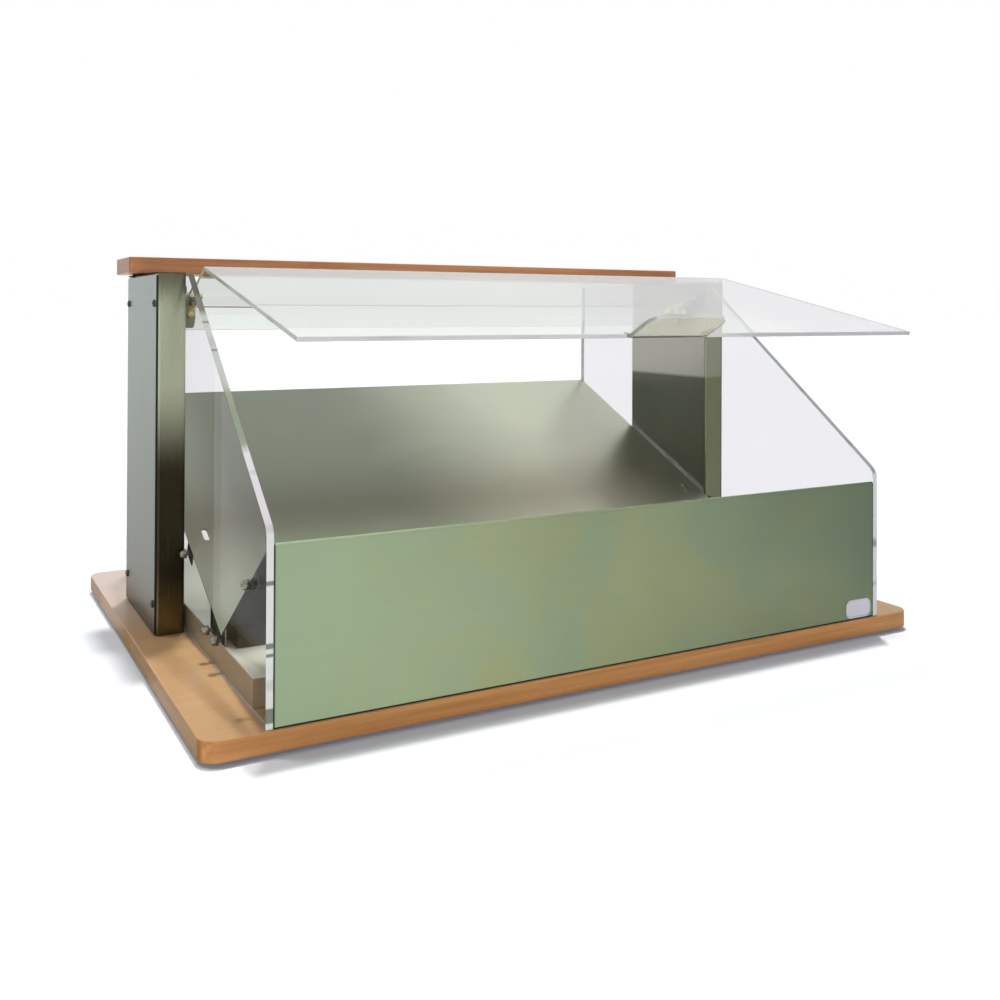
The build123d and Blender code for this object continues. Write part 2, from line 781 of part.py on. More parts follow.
with BuildPart() as hinge_knuckle_right:
    with BuildSketch(yz(knuckle_inner)):
        with Locations(at(pivot_y, pivot_z)):
            Circle(knuckle_radius)
        with BuildLine():
            Polyline(
                ear_point(0, 0),
                ear_point(ear_length, 0),
                ear_point(ear_length, ear_thickness),
                ear_point(0, ear_thickness),
                at(pivot_y, pivot_z + knuckle_radius),
                at(pivot_y, flap_end_z),
                close=True,
            )
        make_face()
        with BuildLine():
            Polyline(
                ear_point(0, 0),
                ear_point(2 * ear_length, 0),
                at(pivot_y - 3 * knuckle_radius, pivot_z - 2 * knuckle_radius),
                at(flap_end_y, pivot_z - 2 * knuckle_radius),
                close=True,
            )
        make_face(mode=Mode.SUBTRACT)
    extrude(amount=knuckle_length)
    bore_x(pivot_y, pivot_z, pivot_bolt_radius + fit, knuckle_inner, knuckle_outer)
    bore_x(pivot_y, pivot_z, head_recess_radius, knuckle_inner, knuckle_inner + head_recess_depth)
    disc_on(ear_axis, knuckle_mid, small_screw + fit, 0, ear_thickness, Mode.SUBTRACT)
    disc_on(skirt_axis, knuckle_mid, small_screw + fit, lid_thickness, skirt_screw_bite, Mode.SUBTRACT)
save(hinge_knuckle_right.part, "hinge_knuckle_right")
save(mirrored(hinge_knuckle_right.part), "hinge_knuckle_left")

with BuildPart() as pivot_bolt_right:
    pivot_head_end = knuckle_inner + head_recess_depth - running_gap
    cylinder_x(pivot_y, pivot_z, pivot_head_radius, pivot_head_end - pivot_head_height, pivot_head_end)
    pivot_bolt_end = half_outer + post_sheet + pivot_nut_height + tail
    cylinder_x(pivot_y, pivot_z, pivot_bolt_radius, pivot_head_end, pivot_bolt_end)
save(pivot_bolt_right.part, "pivot_bolt_right")
save(mirrored(pivot_bolt_right.part), "pivot_bolt_left")

with BuildPart() as pivot_washer_right:
    cylinder_x(pivot_y, pivot_z, pivot_washer_radius, half_inner - pivot_washer, half_inner)
    bore_x(pivot_y, pivot_z, pivot_bolt_radius + fit, half_inner - pivot_washer, half_inner)
save(pivot_washer_right.part, "pivot_washer_right")
save(mirrored(pivot_washer_right.part), "pivot_washer_left")

with BuildPart() as pivot_nut_right:
    nut_start = half_outer + post_sheet
    hexagon_x(pivot_y, pivot_z, pivot_nut, nut_start, nut_start + pivot_nut_height)
    bore_x(pivot_y, pivot_z, pivot_bolt_radius + fit, nut_start, nut_start + pivot_nut_height)
save(pivot_nut_right.part, "pivot_nut_right")
save(mirrored(pivot_nut_right.part), "pivot_nut_left")

with BuildPart() as lid_screws:
    for side in (-1, 1):
        disc_on(ear_axis, side * knuckle_mid, small_head, ear_thickness, head_height)
        disc_on(ear_axis, side * knuckle_mid, small_screw, -lid_thickness - small_nut_height - tail,
                lid_thickness + small_nut_height + tail + ear_thickness)
        disc_on(skirt_axis, side * knuckle_mid, small_head, -head_height, head_height)
        disc_on(skirt_axis, side * knuckle_mid, small_screw, 0, lid_thickness + skirt_screw_bite - tail)
save(lid_screws.part, "lid_screws")

with BuildPart() as lid_nuts:
    for side in (-1, 1):
        with BuildSketch(ear_axis.offset(-lid_thickness - small_nut_height)):
            with Locations((side * knuckle_mid, 0)):
                RegularPolygon(small_nut / 2, 6, major_radius=False)
        extrude(amount=small_nut_height)
        disc_on(ear_axis, side * knuckle_mid, small_screw + fit, -lid_thickness - small_nut_height,
                small_nut_height, Mode.SUBTRACT)
save(lid_nuts.part, "lid_nuts")

# ---------------------------------------------------------------- blank badge plate
with BuildPart() as badge_plate:
    badge_plane = Plane(origin=(0, front_y, base_top), x_dir=(1, 0, 0), z_dir=(0, -1, 0))
    with BuildSketch(badge_plane):
        with Locations((badge_left + badge_width / 2 - half_inner, badge_bottom + badge_height / 2)):
            RectangleRounded(badge_width, badge_height, badge_corner)
    extrude(amount=badge_thickness)
save(badge_plate.part, "badge_plate")
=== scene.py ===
"""Looks of the counter bread bin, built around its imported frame.

Metres throughout: +X to the customer's right, +Y towards the server, +Z up.
"""
import json
import math

import bmesh
import bpy
from mathutils import Matrix, Vector

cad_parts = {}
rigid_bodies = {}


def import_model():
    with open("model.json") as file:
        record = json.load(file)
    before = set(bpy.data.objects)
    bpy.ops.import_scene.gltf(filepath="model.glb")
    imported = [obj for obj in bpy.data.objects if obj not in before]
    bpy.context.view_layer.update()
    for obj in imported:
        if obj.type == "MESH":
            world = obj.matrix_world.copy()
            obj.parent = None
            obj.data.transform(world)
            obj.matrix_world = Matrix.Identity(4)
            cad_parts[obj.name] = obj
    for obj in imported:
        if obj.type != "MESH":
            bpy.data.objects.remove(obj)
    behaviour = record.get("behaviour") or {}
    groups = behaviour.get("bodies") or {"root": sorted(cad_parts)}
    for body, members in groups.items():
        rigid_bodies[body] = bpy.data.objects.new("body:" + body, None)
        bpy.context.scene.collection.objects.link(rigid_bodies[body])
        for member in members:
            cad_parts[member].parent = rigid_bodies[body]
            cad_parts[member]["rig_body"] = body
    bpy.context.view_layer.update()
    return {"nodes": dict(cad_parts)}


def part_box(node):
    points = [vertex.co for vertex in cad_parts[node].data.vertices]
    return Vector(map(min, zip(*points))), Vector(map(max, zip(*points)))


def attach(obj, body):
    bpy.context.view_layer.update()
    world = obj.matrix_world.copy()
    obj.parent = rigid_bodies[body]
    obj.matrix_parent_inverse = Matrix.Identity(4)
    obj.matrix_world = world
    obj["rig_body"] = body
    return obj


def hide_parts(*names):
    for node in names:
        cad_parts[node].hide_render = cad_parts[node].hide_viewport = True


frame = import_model()
nodes = frame["nodes"]
MM = 0.001

# ---------------- places read from the frame
trough_low, trough_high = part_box("bread_trough")
tray_low, tray_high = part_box("floor_tray")
knuckle_low, knuckle_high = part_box("hinge_knuckle_left")
front_face = trough_low.y
base_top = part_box("base_board")[1].z
cap_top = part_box("post_cap_left")[1].z
cover_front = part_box("post_cover_left")[0].y
lid_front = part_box("lid")[0].y

# ---------------- camera
camera_place = Vector((-0.5733, -1.1017, 0.3467))
camera_turn = math.radians(28.727)
camera_tilt = math.radians(0.434)
camera_roll = math.radians(0.237)
camera_lens = 38.4
camera_shift = -0.198
sensor_width = 36
farthest_seen = 100


def add_object(name, data):
    """New object in the scene's own collection."""
    thing = bpy.data.objects.new(name, data)
    bpy.context.scene.collection.objects.link(thing)
    return thing


def make_camera():
    data = bpy.data.cameras.new("camera")
    data.sensor_width = sensor_width
    data.lens = camera_lens
    data.shift_y = camera_shift
    data.clip_end = farthest_seen
    camera = add_object("camera", data)
    turn = Matrix.Rotation(-camera_turn, 4, "Z")
    tilt = Matrix.Rotation(math.pi / 2 + camera_tilt, 4, "X")
    roll = Matrix.Rotation(camera_roll, 4, "Z")
    camera.matrix_world = Matrix.Translation(camera_place) @ turn @ tilt @ roll
    bpy.context.scene.camera = camera


make_camera()


# ---------------- node helpers
def plug(tree, socket, value):
    """Give a socket its plain value, or link it to another socket."""
    if isinstance(value, bpy.types.NodeSocket):
        tree.links.new(value, socket)
    else:
        socket.default_value = value


def paint(tree, node, **inputs):
    """Fill a node's inputs. Spaces in a socket's name are written as underscores."""
    for name, value in inputs.items():
        plug(tree, node.inputs[name.replace("_", " ")], value)


def put(tree, kind, settings=None, **inputs):
    """Add a node with its settings and inputs."""
    node = tree.nodes.new(kind)
    for name, value in (settings or {}).items():
        setattr(node, name, value)
    paint(tree, node, **inputs)
    return node


def noise(tree, vector, scale, detail, **more):
    return put(tree, "ShaderNodeTexNoise", Vector=vector, Scale=scale, Detail=detail, **more).outputs[0]


def fill(tree, sockets, values):
    """Give values to sockets in their order."""
    for socket, value in zip(sockets, values):
        plug(tree, socket, value)


def maths(tree, operation, *values, clamp=False):
    node = put(tree, "ShaderNodeMath", {"operation": operation, "use_clamp": clamp})
    fill(tree, node.inputs, values)
    return node.outputs[0]


def times(tree, first, second):
    return maths(tree, "MULTIPLY", first, second)


def either(tree, *masks):
    """The strongest of several masks."""
    strongest = masks[0]
    for mask in masks[1:]:
        strongest = maths(tree, "MAXIMUM", strongest, mask)
    return strongest


def vector_maths(tree, operation, *values):
    node = put(tree, "ShaderNodeVectorMath", {"operation": operation})
    fill(tree, node.inputs, values)
    return node.outputs[0]


def mix(tree, share, first, second, kind, blend="MIX"):
    """Blend of two numbers, vectors or colours. The node has a pair of inputs for each kind."""
    pair = ("FLOAT", "VECTOR", "RGBA").index(kind)
    node = put(tree, "ShaderNodeMix", {"data_type": kind, "blend_type": blend}, Factor=share)
    fill(tree, node.inputs[2 * pair + 2:2 * pair + 4], (first, second))
    return node.outputs[pair]


def mix_colour(tree, share, first, second, blend="MIX"):
    return mix(tree, share, first, second, "RGBA", blend)


def ramp(tree, value, low, high, to_low=0.0, to_high=1.0, smooth=True):
    """Value mapped from one span to another, held at the ends."""
    curve = "SMOOTHSTEP" if smooth else "LINEAR"
    node = put(tree, "ShaderNodeMapRange", {"interpolation_type": curve})
    fill(tree, node.inputs, (value, low, high, to_low, to_high))
    return node.outputs[0]


def fall(tree, value, low, high, start=1.0):
    """Start below the low value, 0 above the high one, and a smooth slope between."""
    return ramp(tree, value, low, high, start, 0.0)


def rgb(red, green, blue):
    return (red, green, blue, 1.0)


def new_group(name, inputs, outputs):
    """Empty shader group. Inputs map socket names to a type and default, and outputs to a type."""
    group = bpy.data.node_groups.new(name, "ShaderNodeTree")
    for label, (kind, default) in inputs.items():
        socket = group.interface.new_socket(label, in_out="INPUT", socket_type=kind)
        if default is not None:
            socket.default_value = default
    for label, kind in outputs.items():
        group.interface.new_socket(label, in_out="OUTPUT", socket_type=kind)
    entry = group.nodes.new("NodeGroupInput").outputs
    leave = group.nodes.new("NodeGroupOutput").inputs
    return group, entry, leave


def use_group(tree, group, **inputs):
    return put(tree, "ShaderNodeGroup", {"node_tree": group}, **inputs).outputs


FLOAT = "NodeSocketFloat"
COLOUR = "NodeSocketColor"
VECTOR = "NodeSocketVector"


# ---------------- shared finishes
def make_brushed_finish():
    """Sheet metal brushed one way: fine streaks over slow clouds between two tones."""
    group, entry, leave = new_group(
        "brushed_finish",
        {
            "Vector": (VECTOR, None),
            "Stretch": (VECTOR, (6, 900, 900)),
            "Light": (COLOUR, rgb(0.7, 0.7, 0.7)),
            "Dark": (COLOUR, rgb(0.5, 0.5, 0.5)),
            "Balance": (FLOAT, 0.5),
            "Clouds": (FLOAT, 0.4),
            "Cloud Scale": (FLOAT, 4.0),
            "Streaks": (FLOAT, 0.12),
            "Gloss": (FLOAT, 0.3),
        },
        {"Color": COLOUR, "Roughness": FLOAT, "Height": FLOAT},
    )
    along = vector_maths(group, "MULTIPLY", entry["Vector"], entry["Stretch"])
    streak = noise(group, along, 1.0, 3.0, Roughness=0.6)
    cloud = noise(group, entry["Vector"], entry["Cloud Scale"], 2.0, Roughness=0.45, Distortion=0.8)
    drift = times(group, maths(group, "SUBTRACT", cloud, 0.5), entry["Clouds"])
    share = maths(group, "ADD", entry["Balance"], drift, clamp=True)
    tone = mix_colour(group, share, entry["Dark"], entry["Light"])
    swing = times(group, maths(group, "SUBTRACT", streak, 0.5), entry["Streaks"])
    lift = maths(group, "ADD", 1.0, swing)
    group.links.new(vector_maths(group, "MULTIPLY", tone, lift), leave["Color"])
    gloss = maths(group, "ADD", entry["Gloss"], times(group, swing, 0.6))
    group.links.new(gloss, leave["Roughness"])
    group.links.new(streak, leave["Height"])
    return group


def make_wood_grain():
    """Straight fine grain with darker growth lines and short pores."""
    group, entry, leave = new_group(
        "wood_grain",
        {
            "Vector": (VECTOR, None),
            "Light": (COLOUR, rgb(0.6, 0.4, 0.2)),
            "Dark": (COLOUR, rgb(0.4, 0.2, 0.1)),
            "Line Scale": (FLOAT, 60.0),
            "Contrast": (FLOAT, 0.6),
        },
        {"Color": COLOUR, "Height": FLOAT},
    )
    sway = noise(group, vector_maths(group, "MULTIPLY", entry["Vector"], (1.5, 9, 9)), 1.0, 2.0)
    bend = put(group, "ShaderNodeVectorMath", {"operation": "SCALE"}, Scale=times(group, sway, 0.02))
    plug(group, bend.inputs[0], sway)
    swayed = vector_maths(group, "ADD", entry["Vector"], bend.outputs[0])
    lines_at = vector_maths(group, "MULTIPLY", swayed, (0.02, 1, 1))
    lines = noise(group, lines_at, entry["Line Scale"], 5.0, Roughness=0.62)
    pores_at = vector_maths(group, "MULTIPLY", swayed, (0.06, 1, 1))
    pores = noise(group, pores_at, times(group, entry["Line Scale"], 9), 1.0)
    line_share = ramp(group, lines, 0.34, 0.66)
    pore_share = ramp(group, pores, 0.62, 0.74)
    share = maths(group, "SUBTRACT", 1.0, times(group, line_share, entry["Contrast"]))
    tone = mix_colour(group, share, entry["Dark"], entry["Light"])
    pored = mix_colour(group, times(group, pore_share, 0.35), tone, entry["Dark"])
    group.links.new(pored, leave["Color"])
    group.links.new(maths(group, "SUBTRACT", line_share, pore_share), leave["Height"])
    return group


def make_fine_wear():
    """Handling marks: faint hairline scratches and a film of dust, as two masks."""
    group, entry, leave = new_group(
        "fine_wear",
        {"Vector": (VECTOR, None), "Scratch Scale": (FLOAT, 30.0)},
        {"Scratches": FLOAT, "Film": FLOAT},
    )
    masks = []
    for angle in (0.5, 1.9):
        turned = put(
            group, "ShaderNodeVectorRotate", {"rotation_type": "EULER_XYZ"},
            Vector=entry["Vector"], Rotation=(angle, 0.7 * angle, angle),
        ).outputs[0]
        thin = vector_maths(group, "MULTIPLY", turned, (0.6, 30, 30))
        masks.append(ramp(group, noise(group, thin, entry["Scratch Scale"], 0.0), 0.72, 0.78))
    group.links.new(either(group, *masks), leave["Scratches"])
    film = noise(group, entry["Vector"], 7.0, 4.0)
    group.links.new(ramp(group, film, 0.35, 0.75), leave["Film"])
    return group


brushed_finish = make_brushed_finish()
wood_grain = make_wood_grain()
fine_wear = make_fine_wear()


# ---------------- materials
def new_material(name):
    """Material with a bare Principled shader. Gives also its tree, shader and texture coordinates."""
    material = bpy.data.materials.new(name)
    material.use_nodes = True
    tree = material.node_tree
    tree.nodes.clear()
    shader = tree.nodes.new("ShaderNodeBsdfPrincipled")
    output = tree.nodes.new("ShaderNodeOutputMaterial")
    tree.links.new(shader.outputs[0], output.inputs["Surface"])
    place = tree.nodes.new("ShaderNodeTexCoord").outputs
    return material, tree, shader, place


def add_bump(tree, shader, height, strength, distance):
    bump = put(tree, "ShaderNodeBump", Height=height, Strength=strength, Distance=distance)
    tree.links.new(bump.outputs[0], shader.inputs["Normal"])


def built(value, tree, place):
    """A plain value, or what a function builds from the tree and its coordinates."""
    return value(tree, place) if callable(value) else value


def brushed_steel(name, light, dark, stretch, balance, clouds, cloud_scale, streaks, gloss, painted_shade=None):
    """Brushed sheet metal. Its colours and their balance are values or functions; the balance functions paint
    light and shade. Its painted shade, a function, turns the metal to a near-black non-metal.
    """
    material, tree, shader, place = new_material(name)
    finish = use_group(
        tree, brushed_finish, Vector=place["Object"], Stretch=stretch, Light=built(light, tree, place),
        Dark=built(dark, tree, place), Balance=built(balance, tree, place), Clouds=clouds,
        Cloud_Scale=cloud_scale, Streaks=streaks, Gloss=gloss,
    )
    tone = finish["Color"]
    metal = 1.0
    # Painted shade: a near-black tone that mirrors nothing, in gaps and under parts.
    if painted_shade:
        painted_shade_share = painted_shade(tree, place)
        tone = mix_colour(tree, painted_shade_share, tone, painted_shade_tone)
        metal = ramp(tree, painted_shade_share, 0.0, 1.0, 1.0, 0.0, smooth=False)
    paint(tree, shader, Base_Color=tone, Metallic=metal, Roughness=finish["Roughness"])
    paint(tree, shader, Specular_IOR_Level=0.0)
    add_bump(tree, shader, finish["Height"], 0.06, 0.02 * MM)
    return material


# Measures and masks over a piece, from the place on it or from the way its surface faces.
def axis(tree, vector, letter):
    return put(tree, "ShaderNodeSeparateXYZ", Vector=vector).outputs[letter.upper()]


def spot(tree, place, letter):
    """One coordinate of the point on the piece."""
    return axis(tree, place["Object"], letter)


def facing(tree, place, letter):
    """How far the surface faces along an axis, from -1 to 1."""
    return axis(tree, place["Normal"], letter)


def squareness(tree, place, letter):
    """How squarely the surface faces along an axis either way, from 0 to 1."""
    return maths(tree, "ABSOLUTE", facing(tree, place, letter))


def by_height(tree, place, low, high, to_low=0.0, to_high=1.0, smooth=True):
    """Ramp between two heights above the base board."""
    return ramp(tree, spot(tree, place, "z"), base_top + low, base_top + high, to_low, to_high, smooth)


def on_front_face(tree, place):
    """The outer face of the trough's front wall."""
    return fall(tree, spot(tree, place, "y"), front_face + 1.5 * MM, front_face + 2.5 * MM)


def shade_under_and_ends(tree, place):
    """Mask of painted shade: undersides, and the lugs and end faces turned to the side panels."""
    below = fall(tree, facing(tree, place, "z"), -0.5, -0.3)
    return either(tree, below, ramp(tree, squareness(tree, place, "x"), 0.6, 0.8))


def trough_painted_shade(tree, place):
    """Painted shade: dark lines where the front wall meets the base and side panels, and dark undersides."""
    foot = fall(tree, spot(tree, place, "z"), trough_low.z + 0.9 * MM, trough_low.z + 1.5 * MM)
    sideways = maths(tree, "ABSOLUTE", spot(tree, place, "x"))
    ends = ramp(tree, sideways, trough_high.x - 1.3 * MM, trough_high.x - 0.7 * MM, 0.0, 0.8)
    lines = times(tree, either(tree, foot, ends), on_front_face(tree, place))
    return either(tree, lines, shade_under_and_ends(tree, place))


def cap_painted_shade(tree, place):
    """Painted shade: dark gap round the pad that lifts the board off the cap, and the cap's shaded end rims.
    """
    gap = ramp(tree, spot(tree, place, "z"), cap_top - 1.75 * MM, cap_top - 1.65 * MM)
    return either(tree, gap, ramp(tree, squareness(tree, place, "x"), 0.6, 0.8))


def cover_painted_shade(tree, place):
    """Painted shade: dark line down the front rim of a cover, where it meets the post."""
    return fall(tree, spot(tree, place, "y"), cover_front + 0.8 * MM, cover_front + 1.4 * MM, 0.9)


def trough_light(tree, place):
    """Light tones: the rubbed front face is greener and darker than the inside, a painted reflection, in
    slowly changing hues.
    """
    hue = noise(tree, place["Object"], 9.0, 2.0, Distortion=0.6)
    middle = mix_colour(tree, ramp(tree, hue, 0.38, 0.62), front_middle, front_yellow)
    front_light = mix_colour(tree, ramp(tree, spot(tree, place, "x"), -0.32, -0.16), front_left, middle)
    return mix_colour(tree, on_front_face(tree, place), inside_light, front_light)


# Dark tones of the painted reflection, for the front face and the inside.
def trough_dark(tree, place):
    return mix_colour(tree, on_front_face(tree, place), inside_dark, front_dark)


def trough_painted_light(tree, place):
    """Painted light. Front face: lighter at its left, a painted reflection. Inside: lighter at both ends,
    most of all at the right.
    """
    x = spot(tree, place, "x")
    slanted = maths(tree, "MULTIPLY_ADD", spot(tree, place, "z"), 0.45, x)
    front_tone = ramp(tree, slanted, -0.20, 0.38, 1.0, 0.02, smooth=False)
    far_left = fall(tree, x, -0.31, -0.24, 0.42)
    inside_tone = either(tree, far_left, ramp(tree, x, -0.11, 0.20))
    return mix(tree, on_front_face(tree, place), inside_tone, front_tone, "FLOAT")


def left_post_painted_light(tree, place):
    """Painted light: the left post darkens low down, a painted reflection, and again under the board, painted
    shade.
    """
    rising = by_height(tree, place, 0.158, 0.262)
    return times(tree, rising, by_height(tree, place, 0.318, 0.362, 1.0, 0.22))


def left_post_dark(tree, place):
    """Nearly black, a painted reflection of dark surroundings, warmed at the foot by a painted reflection of
    the wood.
    """
    foot = by_height(tree, place, 0.01, 0.07, 1.0, 0.0)
    return mix_colour(tree, foot, rgb(0.044, 0.036, 0.020), rgb(0.125, 0.104, 0.046))


def right_post_painted_light(tree, place):
    """Painted reflection: the right post is light near its top on the side towards the bread, and dark on its
    front.
    """
    rising = by_height(tree, place, 0.236, 0.242, 0.22, 1.0)
    return times(tree, rising, ramp(tree, facing(tree, place, "y"), -0.7, -0.3, 0.30, 1.0))


def right_post_dark(tree, place):
    """Dark tones of the painted reflection: slate grey towards the bread, olive on the front strip."""
    forward = fall(tree, facing(tree, place, "y"), -0.7, -0.3)
    return mix_colour(tree, forward, rgb(0.068, 0.083, 0.060), rgb(0.135, 0.150, 0.080))


def cover_painted_light(tree, place):
    """Painted reflection: lighter towards the top."""
    return by_height(tree, place, 0.0, 0.34, 0.0, 0.95, smooth=False)


def cover_dark(tree, place):
    """Grey green, warmed at the foot by a painted reflection of the wood."""
    foot = by_height(tree, place, 0.02, 0.10, 1.0, 0.0)
    return mix_colour(tree, foot, rgb(0.018, 0.028, 0.004), rgb(0.045, 0.028, 0.001))


# Near-black tone of the painted shade.
painted_shade_tone = rgb(0.022, 0.023, 0.016)
# Trough tones: light and dark copies of the steel, mixed by painted light.
front_left = rgb(0.300, 0.385, 0.248)
front_middle = rgb(0.312, 0.386, 0.246)
front_yellow = rgb(0.352, 0.384, 0.208)
front_dark = rgb(0.108, 0.138, 0.092)
inside_light = rgb(0.54, 0.57, 0.45)
inside_dark = rgb(0.20, 0.225, 0.172)
brushed_across = (8, 500, 500)
brushed_upright = (500, 500, 8)
brushed_softly = (120, 120, 6)
trough_steel = brushed_steel(
    "trough_steel", light=trough_light, dark=trough_dark, stretch=brushed_across, balance=trough_painted_light,
    clouds=0.34, cloud_scale=5.0, streaks=0.08, gloss=0.30, painted_shade=trough_painted_shade,
)
post_steel_left = brushed_steel(
    "post_steel_left", light=rgb(0.405, 0.435, 0.305), dark=left_post_dark, stretch=brushed_upright,
    balance=left_post_painted_light, clouds=0.10, cloud_scale=6.0, streaks=0.14, gloss=0.26,
)
post_steel_right = brushed_steel(
    "post_steel_right", light=rgb(0.57, 0.57, 0.465), dark=right_post_dark, stretch=brushed_softly,
    balance=right_post_painted_light, clouds=0.08, cloud_scale=6.0, streaks=0.03, gloss=0.28,
)
cover_steel = brushed_steel(
    "cover_steel", light=rgb(0.232, 0.282, 0.258), dark=cover_dark, stretch=brushed_upright,
    balance=cover_painted_light, clouds=0.2, cloud_scale=5.0, streaks=0.10, gloss=0.34, painted_shade=cover_painted_shade,
)
# Dark browns of the cap: painted shade under the top board.
cap_steel = brushed_steel(
    "cap_steel", light=rgb(0.100, 0.074, 0.046), dark=rgb(0.065, 0.048, 0.030), stretch=brushed_across,
    balance=0.6, clouds=0.4, cloud_scale=9.0, streaks=0.08, gloss=0.32, painted_shade=cap_painted_shade,
)
# Near black: painted shade, for the cradle in the shade under the trough.
shaded_cradle_steel = brushed_steel(
    "shaded_cradle_steel", light=rgb(0.045, 0.042, 0.026), dark=rgb(0.025, 0.024, 0.014), stretch=brushed_across,
    balance=0.5, clouds=0.5, cloud_scale=6.0, streaks=0.10, gloss=0.28,
)


def base_painted_sheen_and_shade(tree, place):
    """Share of painted sheen, a reflection beside the left post that grows towards the rear, and a tint of
    painted shade, deeper at the right and on the ends.
    """
    x = spot(tree, place, "x")
    on_end = ramp(tree, squareness(tree, place, "x"), 0.80, 0.98)
    rearward = ramp(tree, spot(tree, place, "y"), -0.04, 0.24, 0.0, 0.85)
    beside = times(tree, fall(tree, x, -0.36, -0.30), rearward)
    pale = times(tree, beside, maths(tree, "MULTIPLY_ADD", on_end, -0.8, 1.0))
    # Painted shade: darker towards the right end, deeper still on the end faces.
    shade_tint = mix_colour(tree, ramp(tree, x, 0.30, 0.37), white, rgb(0.76, 0.78, 0.80))
    return pale, mix_colour(tree, on_end, shade_tint, rgb(0.50, 0.49, 0.12))


def top_painted_shade(tree, place):
    """No painted sheen, and a tint of painted shade on the two ends."""
    on_end = ramp(tree, squareness(tree, place, "x"), 0.5, 0.8)
    return 0.0, mix_colour(tree, on_end, rgb(0.93, 0.96, 1.0), rgb(0.60, 0.63, 0.66))


def board_wood(name, light, dark, band_tint, painted_light):
    """Lacquered board. The grain runs along X, and along Y on the edge bands of its two ends."""
    material, tree, shader, place = new_material(name)
    on_end = maths(tree, "GREATER_THAN", squareness(tree, place, "x"), 0.7)
    split = put(tree, "ShaderNodeSeparateXYZ", Vector=place["Object"]).outputs
    swapped = put(tree, "ShaderNodeCombineXYZ", X=split["Y"], Y=split["X"], Z=split["Z"]).outputs[0]
    grain_way = mix(tree, on_end, place["Object"], swapped, "VECTOR")
    on_band = fall(tree, squareness(tree, place, "z"), 0.5, 0.8)
    grain = use_group(
        tree, wood_grain, Vector=grain_way, Light=light, Dark=dark, Line_Scale=170.0,
        Contrast=ramp(tree, on_band, 0.0, 1.0, 0.20, 0.80, smooth=False),
    )
    tinted = mix_colour(tree, 1.0, grain["Color"], mix_colour(tree, on_band, white, band_tint), "MULTIPLY")
    # Painted light: a share of painted sheen, and a tint of painted shade.
    pale, shade_tint = painted_light(tree, place)
    sheened = mix_colour(tree, pale, mix_colour(tree, 1.0, tinted, shade_tint, "MULTIPLY"), painted_sheen_tone)
    wear = use_group(tree, fine_wear, Vector=place["Object"], Scratch_Scale=18.0)
    gloss = ramp(tree, wear["Film"], 0, 1, 0.30, 0.42)
    paint(tree, shader, Base_Color=sheened, Roughness=gloss, Specular_IOR_Level=0.10)
    add_bump(tree, shader, grain["Height"], 0.12, 0.05 * MM)
    return material


white = rgb(1, 1, 1)
# Tone of the painted sheen, a painted reflection on the lacquer.
painted_sheen_tone = rgb(0.585, 0.50, 0.465)
base_wood = board_wood(
    "base_wood", light=rgb(0.52, 0.318, 0.160), dark=rgb(0.39, 0.207, 0.088), band_tint=rgb(1.25, 1.02, 0.79),
    painted_light=base_painted_sheen_and_shade,
)
top_wood = board_wood(
    "top_wood", light=rgb(0.64, 0.30, 0.155), dark=rgb(0.47, 0.195, 0.085), band_tint=rgb(1.0, 0.96, 0.90),
    painted_light=top_painted_shade,
)


def clear_acrylic(name, tint, bending):
    """Clear cast sheet with a thin film and a few hairline scratches. Lamps shine through it."""
    material, tree, shader, place = new_material(name)
    wear = use_group(tree, fine_wear, Vector=place["Object"], Scratch_Scale=26.0)
    film = times(tree, wear["Film"], 0.03)
    filmed = mix_colour(tree, film, built(tint, tree, place), rgb(0.7, 0.72, 0.7))
    scratched = times(tree, wear["Scratches"], 0.04)
    paint(tree, shader, Base_Color=filmed, Roughness=scratched, Transmission_Weight=1.0, IOR=bending)
    path = tree.nodes.new("ShaderNodeLightPath").outputs
    passing = either(tree, path["Is Shadow Ray"], path["Is Diffuse Ray"])
    open_air = put(tree, "ShaderNodeBsdfTransparent", Color=rgb(0.97, 0.975, 0.97))
    mixer = tree.nodes.new("ShaderNodeMixShader")
    for socket, source in zip(mixer.inputs, (passing, shader.outputs[0], open_air.outputs[0])):
        tree.links.new(source, socket)
    output = [node for node in tree.nodes if node.type == "OUTPUT_MATERIAL"][0]
    tree.links.new(mixer.outputs[0], output.inputs["Surface"])
    return material


def buffed_edge(name, light, dark, band_scale, banding):
    """Sawn and buffed rim of the sheet: a pale tone that carries painted light, with soft darker bands across
    it.
    """
    material, tree, shader, place = new_material(name)
    along = vector_maths(tree, "MULTIPLY", place["Object"], (0.4, 1, 1))
    bands = noise(tree, along, band_scale, 1.0, Roughness=0.4)
    tone = mix_colour(tree, ramp(tree, bands, 0.60, 0.70, 0.0, banding), built(light, tree, place), dark)
    paint(tree, shader, Base_Color=tone, Roughness=ramp(tree, bands, 0.3, 0.7, 0.12, 0.25))
    add_bump(tree, shader, bands, 0.1, 0.05 * MM)
    return material


def rim_bands(tree, place, *spans):
    """Bands between pairs of heights above the base, soft at their ends."""
    soft = 1.0 * MM
    bands = []
    for low, high in spans:
        lower = by_height(tree, place, low - soft, low + soft)
        bands.append(times(tree, lower, by_height(tree, place, high - soft, high + soft, 1.0, 0.0)))
    return either(tree, *bands)


